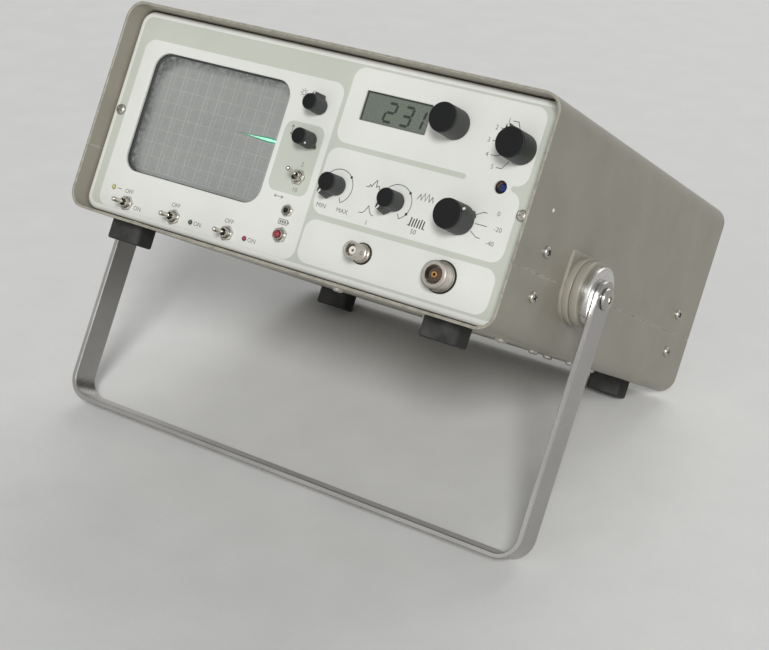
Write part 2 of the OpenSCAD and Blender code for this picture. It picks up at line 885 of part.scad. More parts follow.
module lcd_glass() {
    color([0.42, 0.46, 0.40]) at_readout() run_back(panel_back, lcd_t)
        square([lcd_w + 2 * lcd_lip, lcd_h + 2 * lcd_lip], center = true);
}

module lcd_frame() {
    pocket = [lcd_w + 2 * lcd_lip + 2 * hole_gap, lcd_h + 2 * lcd_lip + 2 * hole_gap];
    wall = [2 * lcd_frame_wall, 2 * lcd_frame_wall];
    color(black) at_readout() difference() {
        run_back(panel_back, lcd_t + lcd_frame_wall) square(pocket + wall, center = true);
        run_back(panel_back - cut, lcd_t + cut) square(pocket, center = true);
    }
}

// Pointer nose of a knob along X: a wedge as high as the knob, standing out by top and by foot
module nose(r, h, top, foot) {
    reach = r + max(top, foot);
    root = r - nose_shoulder;
    intersection() {
        linear_extrude(h)
            polygon([[0, -root], [reach, -nose_tip / 2], [reach, nose_tip / 2], [0, root]]);
        translate([0, r, 0]) rotate([90, 0, 0]) linear_extrude(2 * r)
            polygon([[0, 0], [r + foot, 0], [r + top, h], [0, h]]);
    }
}

// Knobs, round or with a pointer nose turned to angle: its top and foot, or an empty list
module knob(d, h, pointer, angle, shaft_d, nut_flats) {
    r = d / 2;
    top_r = r - knob_taper;
    color(black) translate([0, 0, knob_gap]) rotate([0, 0, angle]) difference() {
        union() {
            rotate([0, 0, 180]) rotate_extrude()
                polygon([[0, 0], [r, 0], [top_r, h - knob_edge], [top_r - knob_edge, h], [0, h]]);
            if (len(pointer) > 0) nose(r, h - knob_edge - nose_drop, pointer[0], pointer[1]);
        }
        translate([0, 0, -cut])
            cylinder(d = nut_flats / cos(30) + 2 * hole_gap, h = nut_cavity_h - knob_gap + cut);
        translate([0, 0, -cut]) cylinder(d = shaft_d + 2 * run_gap, h = h - knob_cap_t + cut);
    }
}

module shaft(d, knob_h) {
    color(bright_metal) translate([0, 0, -panel_t - shaft_inside])
        cylinder(d = d, h = panel_t + shaft_inside + knob_gap + knob_h - knob_cap_t - hole_gap);
}

module large_knob(at, pointer, angle) {
    on_panel(at) knob(large_knob_d, large_knob_h, pointer, angle, large_shaft_d, large_nut);
}

module medium_knob(at, angle) {
    pointer = [medium_nose, medium_nose_foot];
    on_panel(at) knob(medium_knob_d, medium_knob_h, pointer, angle, small_shaft_d, small_nut);
}

module small_knob(at, angle) {
    pointer = [small_nose, small_nose_foot];
    on_panel(at) knob(small_knob_d, small_knob_h, pointer, angle, small_shaft_d, small_nut);
}

module tuning_knob() large_knob(tuning_at, [], 0);

module tuning_shaft() on_panel(tuning_at) shaft(large_shaft_d, large_knob_h);

module band_knob() large_knob(band_at, [large_nose, large_nose_foot], band_angle);

module band_shaft() on_panel(band_at) shaft(large_shaft_d, large_knob_h);

module reference_knob() large_knob(reference_at, [large_nose, large_nose_foot], reference_angle);

module reference_shaft() on_panel(reference_at) shaft(large_shaft_d, large_knob_h);

module sweep_knob() medium_knob(sweep_at, sweep_angle);

module sweep_shaft() on_panel(sweep_at) shaft(small_shaft_d, medium_knob_h);

module span_knob() medium_knob(span_at, span_angle);

module span_shaft() on_panel(span_at) shaft(small_shaft_d, medium_knob_h);

module intensity_knob() small_knob(intensity_at, intensity_angle);

module intensity_shaft() on_panel(intensity_at) shaft(small_shaft_d, small_knob_h);

module position_knob() small_knob(position_at, position_angle);

module position_shaft() on_panel(position_at) shaft(small_shaft_d, small_knob_h);

// The part of a control behind the panel, with its threaded bushing through the panel
module control_body(body_d, body_len, bushing_d, shaft_d) {
    bushing_h = panel_t + nut_t + bushing_over_nut;
    difference() {
        union() {
            translate([0, 0, -panel_t - body_len]) cylinder(d = body_d, h = body_len);
            translate([0, 0, -panel_t - cut]) cylinder(d = bushing_d, h = bushing_h + cut);
        }
        translate([0, 0, -panel_t - shaft_inside - hole_gap])
            cylinder(d = shaft_d + 2 * run_gap, h = shaft_inside + bushing_h + cut);
    }
}

module pot_bodies() {
    color(dull_metal) {
        for (at = small_pot_places)
            on_panel(at) control_body(pot_body_d, pot_body_len, small_bushing_d, small_shaft_d);
        on_panel(tuning_at) control_body(pot_body_d, pot_body_len, large_bushing_d, large_shaft_d);
    }
}

module switch_bodies() {
    color(dull_metal) for (at = switch_places)
        on_panel(at) control_body(switch_body_d, switch_body_len, large_bushing_d, large_shaft_d);
}

module panel_nuts() {
    color(bright_metal) {
        for (at = small_pot_places)
            on_panel(at) nut(small_nut, small_bushing_d + 2 * run_gap, nut_t);
        for (at = concat(switch_places, [tuning_at]))
            on_panel(at) nut(large_nut, large_bushing_d + 2 * run_gap, nut_t);
        for (at = toggle_places)
            on_panel(at) nut(toggle_nut, toggle_bushing_d + 2 * run_gap, nut_t);
        on_panel(monitor_at) nut(toggle_nut, button_bushing_d + 2 * run_gap, nut_t);
        on_panel(bnc_at) translate([0, 0, -panel_t - nut_t])
            nut(bnc_shank_d + 2 * jack_nut_step, bnc_shank_d + 2 * run_gap, nut_t);
        on_panel(n_at) translate([0, 0, -panel_t - nut_t])
            nut(n_shank_d + 2 * jack_nut_step, n_shank_d + 2 * run_gap, nut_t);
    }
}

// Toggles
module toggle_bodies() {
    bore = toggle_bushing_h - lever_pivot_h + toggle_bore_d;
    color(dull_metal) for (at = toggle_places) on_panel(at) difference() {
        union() {
            translate([-toggle_body_w / 2, -toggle_body_h / 2, -panel_t - toggle_body_len])
                cube([toggle_body_w, toggle_body_h, toggle_body_len]);
            translate([0, 0, -panel_t - cut])
                cylinder(d = toggle_bushing_d, h = panel_t + toggle_bushing_h + cut);
        }
        translate([0, 0, toggle_bushing_h - bore]) cylinder(d = toggle_bore_d, h = bore + cut);
    }
}

// A bat-shaped lever on a ball, lifted by angle
module toggle(at, angle) {
    color(bright_metal) on_panel(at) translate([0, 0, lever_pivot_h]) rotate([-angle, 0, 0]) {
        sphere(d = lever_ball_d);
        cylinder(d1 = lever_neck_d, d2 = lever_d, h = lever_len - lever_d / 2);
        translate([0, 0, lever_len - lever_d / 2]) sphere(d = lever_d);
    }
}

module power_toggle() toggle(power_at, 0);

module charge_toggle() toggle(charge_at, 0);

module supply_toggle() toggle(supply_at, 0);

module scale_toggle() toggle(scale_at, lever_swing);

// Push button
module monitor_switch() {
    bore = button_inside + button_travel + loose_gap;
    color(dull_metal) on_panel(monitor_at) difference() {
        union() {
            translate([0, 0, -panel_t - button_body_len])
                cylinder(d = button_body_d, h = button_body_len);
            translate([0, 0, -panel_t - cut])
                cylinder(d = button_bushing_d, h = panel_t + button_bushing_h + cut);
        }
        translate([0, 0, button_bushing_h - bore]) cylinder(d = button_bore_d, h = bore + cut);
    }
}

module monitor_button() {
    dome = 0.6;
    reach = button_inside + button_rise;
    color([0.75, 0.10, 0.12]) on_panel(monitor_at)
        translate([0, 0, button_bushing_h - button_inside]) {
            cylinder(d = button_d, h = reach - dome);
            translate([0, 0, reach - dome]) cylinder(d1 = button_d, d2 = button_d - 2 * dome, h = dome);
        }
}

// A screwdriver slot across the end of a turning piece
module slot(d, depth) {
    slot_w = 0.8;
    translate([-d, -slot_w / 2, -depth]) cube([2 * d, slot_w, depth + cut]);
}

module sideways_trimmer() {
    recess = 1.2;
    slot_depth = 1;
    end = nut_t + bushing_over_nut - recess;
    color(black) on_panel(sideways_at) difference() {
        translate([0, 0, -panel_t - shaft_inside])
            cylinder(d = small_shaft_d, h = panel_t + shaft_inside + end);
        translate([0, 0, end]) slot(small_shaft_d, slot_depth);
    }
}

module zero_trimmer() {
    color([0.10, 0.25, 0.60]) on_panel(zero_at) translate([0, 0, -panel_t]) difference() {
        translate([0, 0, -zero_body_len]) cylinder(d = zero_body_d, h = zero_body_len);
        translate([0, 0, -zero_recess]) cylinder(d = zero_hole_d, h = zero_recess + cut);
        translate([0, 0, -zero_pocket - zero_recess])
            cylinder(d = zero_rotor_d + 2 * run_gap, h = zero_pocket + zero_recess);
    }
}

module zero_rotor() {
    slot_depth = 0.8;
    color(bright_metal) on_panel(zero_at) translate([0, 0, -panel_t - zero_recess / 2]) difference() {
        translate([0, 0, -zero_pocket]) cylinder(d = zero_rotor_d, h = zero_pocket);
        slot(zero_rotor_d, slot_depth);
    }
}

// Lamps
module lamp(at) {
    on_panel(at) {
        translate([0, 0, -panel_t - lamp_body_len]) cylinder(d = lamp_d, h = panel_t + lamp_body_len);
        translate([0, 0, -panel_t - lamp_flange_t]) cylinder(d = lamp_flange_d, h = lamp_flange_t);
        cylinder(d1 = lamp_d, d2 = lamp_d / 2, h = lamp_dome);
    }
}

module power_lamp() color([0.80, 0.78, 0.20]) lamp(lamp_at[0]);

module charge_lamp() color([0.25, 0.28, 0.25]) lamp(lamp_at[1]);

module supply_lamp() color([0.60, 0.08, 0.15]) lamp(lamp_at[2]);

// Coaxial jacks
module jack(d, h, shank_d, flange_d) {
    difference() {
        union() {
            translate([0, 0, -panel_t - jack_back_len])
                cylinder(d = shank_d, h = panel_t + jack_back_len + cut);
            cylinder(d = flange_d, h = jack_flange_t);
            cylinder(d = d, h = h);
        }
        translate([0, 0, h - jack_mouth]) cylinder(d = d - 2 * jack_wall, h = jack_mouth + cut);
    }
}

module bnc_jack() {
    lug_d = 2;
    lug_reach = 0.8;
    tip_len = 3.4;
    tip_step = 0.2;
    lug_h = bnc_jack_h - tip_len - lug_d / 2 - loose_gap;
    neck_r = bnc_jack_d / 2 - tip_step;
    color(bright_metal) on_panel(bnc_at) difference() {
        union() {
            jack(2 * neck_r, bnc_jack_h, bnc_shank_d, bnc_jack_d + 2 * bnc_flange_step);
            translate([0, 0, bnc_jack_h - tip_len]) cylinder(d = bnc_jack_d, h = tip_len);
            for (side = [0, 180])
                rotate([0, 0, side]) translate([neck_r - jack_wall / 2, 0, lug_h])
                    rotate([0, 90, 0]) cylinder(d = lug_d, h = jack_wall / 2 + tip_step + lug_reach);
        }
        translate([0, 0, bnc_jack_h - jack_mouth])
            cylinder(d = 2 * neck_r - 2 * jack_wall, h = jack_mouth + cut);
    }
}

module n_jack() {
    color(bright_metal) on_panel(n_at) jack(n_jack_d, n_jack_h, n_shank_d, n_jack_d + 2 * n_flange_step);
}

module insulator(d, mouth_z) {
    pin_hole_d = 1.6;
    pin_hole_floor = 1;
    len = 5.5;
    translate([0, 0, mouth_z]) difference() {
        cylinder(d = d, h = len);
        translate([0, 0, pin_hole_floor]) cylinder(d = pin_hole_d, h = len);
    }
}

module jack_insulators() {
    color([0.92, 0.92, 0.90]) {
        on_panel(bnc_at) insulator(bnc_jack_d / 2, bnc_jack_h - jack_mouth);
        on_panel(n_at) insulator(n_jack_d / 2, n_jack_h - jack_mouth);
    }
}

// Boards, tuner, transformer and battery on the bottom cover
module main_board() {
    parts = [
        [[8, 30], [22, 14, 6]], [[40, 24], [24, 10, 5]], [[10, 70], [26, 10, 5]],
        [[46, 66], [18, 18, 9]], [[14, 110], [20, 14, 12]], [[42, 120], [22, 12, 6]]
    ];
    caps_at = [[18, 150], [36, 150], [56, 150]];
    cap_d = 12;
    cap_h = 22;
    color(board_green) translate([board_x, board_front_y, floor_z + standoff_h]) {
        difference() {
            cube([board_w, board_d, board_t]);
            for (at = standoff_at)
                translate([at[0] - board_x, at[1] - board_front_y, -cut])
                    cylinder(d = screw_hole_d, h = board_t + 2 * cut);
        }
        for (part = parts) translate([part[0][0], part[0][1], board_t - hole_gap]) cube(part[1]);
        for (at = caps_at) translate([at[0], at[1], board_t - hole_gap]) cylinder(d = cap_d, h = cap_h);
    }
}

module standoffs() {
    color(bright_metal) for (at = standoff_at) translate([at[0], at[1], floor_z]) difference() {
        cylinder(d = standoff_d, h = standoff_h);
        translate([0, 0, -cut]) cylinder(d = tapped_d, h = standoff_h + 2 * cut);
    }
}

// A block on the bottom cover with tapped holes for its screws
module screwed_block(at, size, screws) {
    difference() {
        translate([at[0], at[1], floor_z]) cube(size);
        for (s = screws)
            translate([s[0], s[1], floor_z - cut])
                cylinder(d = tapped_d, h = base_screw_len + hole_gap + cut);
    }
}

module tuner_box() {
    color(bright_metal) screwed_block([tuner_x, tuner_front_y], [tuner_w, tuner_d, tuner_h], tuner_screw_at);
}

module transformer() {
    size = [transformer_w, transformer_d, transformer_h];
    color(dull_metal) screwed_block([transformer_x, transformer_y], size, transformer_screw_at);
}

module battery_pack() {
    color([0.15, 0.17, 0.20]) translate([battery_x, battery_front_y, floor_z])
        cube([battery_w, battery_d, battery_h]);
}

// Mains inlet on the rear panel
module power_inlet() {
    back = rear_face + panel_t;
    floor_y = back - inlet_depth + inlet_wall;
    color(black) translate([inlet_at[0], 0, inlet_at[1]]) {
        difference() {
            union() {
                run_back(back, inlet_flange_t)
                    square(inlet_size + [2 * inlet_flange, 2 * inlet_flange], center = true);
                run_back(back - inlet_depth, inlet_depth + cut) square(inlet_size, center = true);
            }
            run_back(floor_y, inlet_depth + inlet_flange_t)
                square(inlet_size - [2 * inlet_wall, 2 * inlet_wall], center = true);
        }
        for (at = inlet_pin_at)
            translate([at[0], 0, at[1]]) run_back(floor_y - inlet_wall / 2, inlet_pin_len)
                square(inlet_pin, center = true);
    }
}

stand() top_cover();
stand() bottom_cover();
stand() front_panel();
stand() rear_panel();
stand() side_rails();
stand() feet();
stand() case_screws();
stand() bottom_screws();
stand() hub_bases();
stand() moving_hubs();
stand() bright_discs();
stand() bail();
stand() pivot_bolts();
stand() crt_tube();
stand() crt_yoke();
stand() crt_socket();
stand() crt_clamp();
stand() screen_filter();
stand() lcd_glass();
stand() lcd_frame();
stand() tuning_knob();
stand() tuning_shaft();
stand() band_knob();
stand() band_shaft();
stand() reference_knob();
stand() reference_shaft();
stand() sweep_knob();
stand() sweep_shaft();
stand() span_knob();
stand() span_shaft();
stand() intensity_knob();
stand() intensity_shaft();
stand() position_knob();
stand() position_shaft();
stand() pot_bodies();
stand() switch_bodies();
stand() panel_nuts();
stand() toggle_bodies();
stand() power_toggle();
stand() charge_toggle();
stand() supply_toggle();
stand() scale_toggle();
stand() monitor_button();
stand() monitor_switch();
stand() sideways_trimmer();
stand() zero_trimmer();
stand() zero_rotor();
stand() power_lamp();
stand() charge_lamp();
stand() supply_lamp();
stand() bnc_jack();
stand() n_jack();
stand() jack_insulators();
stand() main_board();
stand() standoffs();
stand() tuner_box();
stand() transformer();
stand() battery_pack();
stand() power_inlet();
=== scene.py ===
"""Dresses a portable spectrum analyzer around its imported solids.

Shapes are drawn in millimetres on the cabinet standing square: X to the right, Y back from the front
rim and Z up from the underside. The drawing is then leaned back onto the bail, in metres.
"""

import json
import logging
import math
from collections.abc import Iterable
from dataclasses import dataclass
from enum import Enum

import bmesh
import bpy
from mathutils import Matrix, Vector
from mathutils.geometry import tessellate_polygon


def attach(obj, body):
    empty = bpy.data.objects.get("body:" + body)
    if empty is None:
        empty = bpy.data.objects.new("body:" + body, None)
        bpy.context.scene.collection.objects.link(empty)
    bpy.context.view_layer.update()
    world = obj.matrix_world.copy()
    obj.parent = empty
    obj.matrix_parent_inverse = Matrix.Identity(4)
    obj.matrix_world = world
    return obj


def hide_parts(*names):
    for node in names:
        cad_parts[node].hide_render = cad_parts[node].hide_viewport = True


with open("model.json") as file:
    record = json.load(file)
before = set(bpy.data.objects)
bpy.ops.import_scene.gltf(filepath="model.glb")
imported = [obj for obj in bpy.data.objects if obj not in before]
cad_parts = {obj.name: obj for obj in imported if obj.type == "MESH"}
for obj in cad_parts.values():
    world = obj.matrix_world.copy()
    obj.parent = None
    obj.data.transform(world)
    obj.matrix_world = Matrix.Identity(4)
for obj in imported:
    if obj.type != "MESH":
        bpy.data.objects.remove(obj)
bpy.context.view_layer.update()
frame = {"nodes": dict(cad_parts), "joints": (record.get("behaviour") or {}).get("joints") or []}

LOG = logging.getLogger("analyzer")
MM = 0.001
WELD = 1e-6
STILL = Matrix.Identity(4)
CABINET = "cabinet"
PANEL_SHEET = 1.6
AXIS_R = 0.1
CROSS_ARM = (4.3, 1.3)
TOGGLES = ("power", "charge", "supply", "scale")

Outline = list[tuple[float, float]]
Box = tuple[float, float, float, float]
Colour = tuple[float, float, float]
Span = tuple[Vector, Vector]
Node = bpy.types.Node
Socket = bpy.types.NodeSocket
Tree = bpy.types.NodeTree


class Slot(str, Enum):
    """Names of the record's material slots, listed on each new piece."""

    COVER = "cover_paint"
    PANEL = "panel_paint"
    RUBBER = "foot_rubber"
    SCREW = "screw_metal"
    HUB = "hub_paint"
    DISC = "bright_metal"
    BAIL = "bail_metal"
    FILTER = "filter_glass"
    TUBE = "screen_glass"
    READOUT = "readout_glass"
    KNOB = "knob_plastic"
    PLATED = "bright_plate"
    CONTROL = "control_metal"
    BUTTON = "button_red"
    BLUE = "trimmer_blue"
    BLACK = "black_plastic"
    YELLOW = "lamp_yellow"
    DARK = "lamp_dark"
    RED = "lamp_red"
    WHITE = "insulator_white"


class Drawing:
    """The square cabinet's frame in millimetres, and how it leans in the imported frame."""

    HUB = Vector((0, 86, 38))

    def __init__(self) -> None:
        """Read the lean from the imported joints."""
        self.joints = {joint["name"]: joint for joint in frame["joints"]}
        out = Vector(self.joints["tuning_turn"]["axis"])
        turn = Matrix(((1, 0, 0), (0, -out.y, out.z), (0, -out.z, -out.y)))
        hub = Vector(self.joints["bail_swing"]["pos_m"])
        shift = hub - turn @ self.HUB * MM
        self.lean = Matrix.Translation(shift) @ turn.to_4x4() @ Matrix.Scale(MM, 4)
        self.square = self.lean.inverted()
        self.panel_y = self.box("front_panel")[0].y

    def anchor(self, joint: str) -> Vector:
        """Give a joint's place in the drawing."""
        return self.square @ Vector(self.joints[joint]["pos_m"])

    def box(self, node: str) -> Span:
        """Give a node's lowest and highest corners in the drawing."""
        return span(self.square @ vertex.co for vertex in frame["nodes"][node].data.vertices)

    def centre(self, node: str) -> Vector:
        """Give the middle of a node's box in the drawing."""
        low, high = self.box(node)
        return (low + high) / 2

    def islands(self, node: str) -> list[Span]:
        """Find the separate solids of a node.

        Args:
            node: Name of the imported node.

        Returns:
            The lowest and highest corners of each solid in the drawing.
        """
        work = bmesh.new()
        work.from_mesh(frame["nodes"][node].data)
        bmesh.ops.remove_doubles(work, verts=work.verts, dist=WELD)
        left = set(work.verts)
        found = []
        while left:
            group = {left.pop()}
            edge = set(group)
            while edge:
                edge = {link.other_vert(v) for v in edge for link in v.link_edges} & left
                left -= edge
                group |= edge
            found.append(span(self.square @ v.co for v in group))
        work.free()
        return sorted(found, key=lambda box: tuple(box[0]))

    def on_panel(self, x: float, z: float) -> Matrix:
        """Place a piece on the panel's face: its Z points at the user, its Y up."""
        return Matrix.Translation((x, self.panel_y, z)) @ Matrix.Rotation(math.radians(90), 4, "X")

    def at_hub(self, side: int, x: float) -> Matrix:
        """Place a piece on a hub's axis: its Z points away from the cabinet."""
        spot = Matrix.Translation((side * x, self.HUB.y, self.HUB.z))
        return spot @ Matrix.Rotation(math.radians(side * 90), 4, "Y")


def span(points: Iterable[Vector]) -> Span:
    """Give the lowest and highest corners of some points.

    Args:
        points: The points.

    Returns:
        The two corners.
    """
    rows = [tuple(point) for point in points]
    low = Vector([min(row[i] for row in rows) for i in range(3)])
    high = Vector([max(row[i] for row in rows) for i in range(3)])
    return low, high


def arc(x: float, y: float, r: float, start: float, end: float, steps: int) -> Outline:
    """Give points along a circle between two angles in degrees."""
    turns = [math.radians(start + (end - start) * i / steps) for i in range(steps + 1)]
    return [(x + r * math.cos(turn), y + r * math.sin(turn)) for turn in turns]


def circle(x: float, y: float, r: float, steps: int = 40) -> Outline:
    """Give a closed circle."""
    return arc(x, y, r, 0, 360, steps)[:-1]


def polar(spot: Vector, r: float, turn: float) -> tuple[float, float]:
    """Give the point on the panel at a distance from a spot and an angle in degrees."""
    return arc(spot.x, spot.z, r, turn, turn, 1)[0]


def round_rect(x0: float, y0: float, x1: float, y1: float, r: float, steps: int = 8) -> Outline:
    """Give a rectangle with round corners, from its lower left to its upper right."""
    return (
        arc(x1 - r, y0 + r, r, -90, 0, steps)
        + arc(x1 - r, y1 - r, r, 0, 90, steps)
        + arc(x0 + r, y1 - r, r, 90, 180, steps)
        + arc(x0 + r, y0 + r, r, 180, 270, steps)
    )


def grow(outline: Outline, step: float) -> Outline:
    """Move an outline outwards.

    Args:
        outline: The outline, closed.
        step: How far it moves, inwards where the step is negative.

    Returns:
        The moved outline, point for point.
    """
    count = len(outline)
    points = [Vector(point) for point in outline]
    area = sum(points[i - 1].x * points[i].y - points[i].x * points[i - 1].y for i in range(count))
    sign = 1 if area > 0 else -1
    moved = []
    for i, point in enumerate(points):
        before = (point - points[i - 1]).normalized()
        after = (points[(i + 1) % count] - point).normalized()
        a = Vector((before.y, -before.x)) * sign
        b = Vector((after.y, -after.x)) * sign
        moved.append(tuple(point + (a + b) * step / (1 + a.dot(b))))
    return moved


class Form:
    """A mesh being drawn, in millimetres."""

    def __init__(self) -> None:
        """Start with nothing drawn."""
        self.points: list[Vector] = []
        self.faces: list[tuple[int, ...]] = []

    def take(self, points: Iterable, faces: Iterable, place: Matrix = STILL) -> "Form":
        """Add points and faces at a place.

        Args:
            points: The points.
            faces: Numbers of the points round each face.
            place: Where they go.

        Returns:
            This form.
        """
        start = len(self.points)
        self.points.extend(place @ Vector(point) for point in points)
        self.faces.extend(tuple(start + i for i in face) for face in faces)
        return self

    def join(self, other: "Form", place: Matrix = STILL) -> "Form":
        """Add another form at a place."""
        return self.take(other.points, other.faces, place)

    def loft(self, rings: list, place: Matrix = STILL, capped: bool = True, closed: bool = False) -> "Form":
        """Skin a row of rings.

        Args:
            rings: Rings of points, all of one count.
            place: Where the skin goes.
            capped: Whether the first and last rings are filled.
            closed: Whether the last ring joins the first.

        Returns:
            This form.
        """
        count = len(rings[0])
        faces = []
        for i in range(len(rings) - (0 if closed else 1)):
            a = i * count
            b = (i + 1) % len(rings) * count
            faces += [(a + j, a + (j + 1) % count, b + (j + 1) % count, b + j) for j in range(count)]
        if capped and not closed:
            faces.append(tuple(range(count)))
            faces.append(tuple(range((len(rings) - 1) * count, len(rings) * count)))
        return self.take([point for ring in rings for point in ring], faces, place)

    def lathe(self, profile: Outline, place: Matrix = STILL, steps: int = 48) -> "Form":
        """Turn a profile of radius and height about Z."""
        return self.loft([level(circle(0, 0, r, steps), z) for r, z in profile], place)

    def tube(self, profile: Outline, place: Matrix = STILL, steps: int = 48) -> "Form":
        """Turn a closed profile of radius and height about Z."""
        rings = [level(circle(0, 0, r, steps), z) for r, z in profile]
        return self.loft(rings, place, closed=True)

    def plate(
        self,
        outer: Outline,
        holes: list[Outline],
        low: float,
        high: float,
        edge: float = 0.0,
        place: Matrix = STILL,
    ) -> "Form":
        """Draw a flat sheet with holes.

        Args:
            outer: Outline of the sheet.
            holes: Outlines cut out of it.
            low: Height of the back.
            high: Height of the front.
            edge: Chamfer along the front edges.
            place: Where the sheet goes.

        Returns:
            This form.
        """
        back = [outer, *holes]
        front = [grow(outer, -edge), *[grow(hole, edge) for hole in holes]] if edge else back
        for lower, upper in zip(back, front):
            rings = [level(lower, low), level(lower, high - edge)]
            if edge:
                rings.append(level(upper, high))
            self.loft(rings, place, capped=False)
        for outlines, z in ((back, low), (front, high)):
            rows = [level(outline, z) for outline in outlines]
            points = [point for row in rows for point in row]
            faces = tessellate_polygon(rows) if holes else [tuple(range(len(points)))]
            self.take(points, faces, place)
        return self

    def ribbon(self, path: Outline, width: float, low: float, high: float, place: Matrix = STILL) -> "Form":
        """Draw a flat line of even width along a path.

        Args:
            path: Points along the middle of the line.
            width: Width of the line.
            low: Height of its back.
            high: Height of its front.
            place: Where the line goes.

        Returns:
            This form.
        """
        spots = [Vector(point) for point in path]
        ways = [(b - a).normalized() for a, b in zip(spots, spots[1:])]
        sides = [Vector((-way.y, way.x)) for way in ways]
        longest_mitre = 0.25
        rings = []
        for i, here in enumerate(spots):
            before, after = sides[max(i - 1, 0)], sides[min(i, len(sides) - 1)]
            side = (before + after) / max(1 + before.dot(after), longest_mitre) * width / 2
            left, right = here + side, here - side
            rings.append([(*left, low), (*left, high), (*right, high), (*right, low)])
        return self.loft(rings, place)


def level(outline: Outline, z: float) -> list[Vector]:
    """Lift a flat outline to a height."""
    return [Vector((x, y, z)) for x, y in outline]


def bar(size: tuple[float, float, float], edge: float, base: float = 0.0) -> Form:
    """Draw a block about the Z axis with chamfered upright and upper edges.

    Args:
        size: Width, depth and height.
        edge: Width of the chamfers.
        base: Height of its underside.

    Returns:
        The block.
    """
    w, d, h = size
    outline = round_rect(-w / 2, -d / 2, w / 2, d / 2, edge, 2)
    return Form().plate(outline, [], base, base + h, edge)


def carve(body: Form, cutters: list[Form]) -> Form:
    """Cut forms out of another form.

    Args:
        body: The form that is cut.
        cutters: Closed forms that are taken out of it.

    Returns:
        The form that is left.
    """
    left = body
    for cutter in cutters:
        objects = [bpy.data.objects.new("carving", welded(form, STILL)) for form in (left, cutter)]
        for part in objects:
            bpy.context.scene.collection.objects.link(part)
        cut = objects[0].modifiers.new("cut", "BOOLEAN")
        cut.object = objects[1]
        cut.solver = "EXACT"
        bpy.context.view_layer.update()
        graph = bpy.context.evaluated_depsgraph_get()
        mesh = bpy.data.meshes.new_from_object(objects[0].evaluated_get(graph))
        left = Form().take([v.co for v in mesh.vertices], [tuple(p.vertices) for p in mesh.polygons])
        for part in objects:
            bpy.data.meshes.remove(part.data)
        bpy.data.meshes.remove(mesh)
    return left


def lettering(words: str, height: float, x: float, y: float, low: float, high: float) -> Form:
    """Draw plain numbers or letters about a point.

    Args:
        words: What is written.
        height: Height of a capital.
        x: Middle of the words.
        y: Middle of the capitals.
        low: Height of the back of the print.
        high: Height of its front.

    Returns:
        The letters as thin plates.
    """
    capital_share = 0.69
    curve = bpy.data.curves.new("lettering", "FONT")
    curve.body = words
    curve.size = height / capital_share
    curve.align_x = "CENTER"
    curve.extrude = (high - low) / 2
    curve.resolution_u = 3
    holder = bpy.data.objects.new("lettering", curve)
    mesh = bpy.data.meshes.new_from_object(holder)
    place = Matrix.Translation((x, y - height / 2, (low + high) / 2))
    form = Form().take([v.co for v in mesh.vertices], [tuple(p.vertices) for p in mesh.polygons], place)
    bpy.data.objects.remove(holder)
    bpy.data.curves.remove(curve)
    bpy.data.meshes.remove(mesh)
    return form


def welded(form: Form, place: Matrix) -> bpy.types.Mesh:
    """Make a clean mesh of a form.

    Args:
        form: The form.
        place: Where it goes.

    Returns:
        The mesh, without double points and with its faces turned outwards.
    """
    mesh = bpy.data.meshes.new("form")
    mesh.from_pydata([place @ point for point in form.points], [], form.faces)
    work = bmesh.new()
    work.from_mesh(mesh)
    bmesh.ops.remove_doubles(work, verts=work.verts, dist=WELD)
    bmesh.ops.dissolve_degenerate(work, edges=work.edges, dist=WELD)
    bmesh.ops.recalc_face_normals(work, faces=work.faces)
    work.to_mesh(mesh)
    work.free()
    return mesh


# Finishes
def linear(colour: Colour) -> tuple[float, float, float, float]:
    """Turn a colour as it looks on a screen, from 0 to 255, into shader values."""
    parts = [part / 255 for part in colour]
    return (*[p / 12.92 if p <= 0.04045 else ((p + 0.055) / 1.055) ** 2.4 for p in parts], 1.0)


def shade(colour: Colour, share: float) -> Colour:
    """Make a colour darker or lighter by a share."""
    return tuple(min(255.0, part * share) for part in colour)


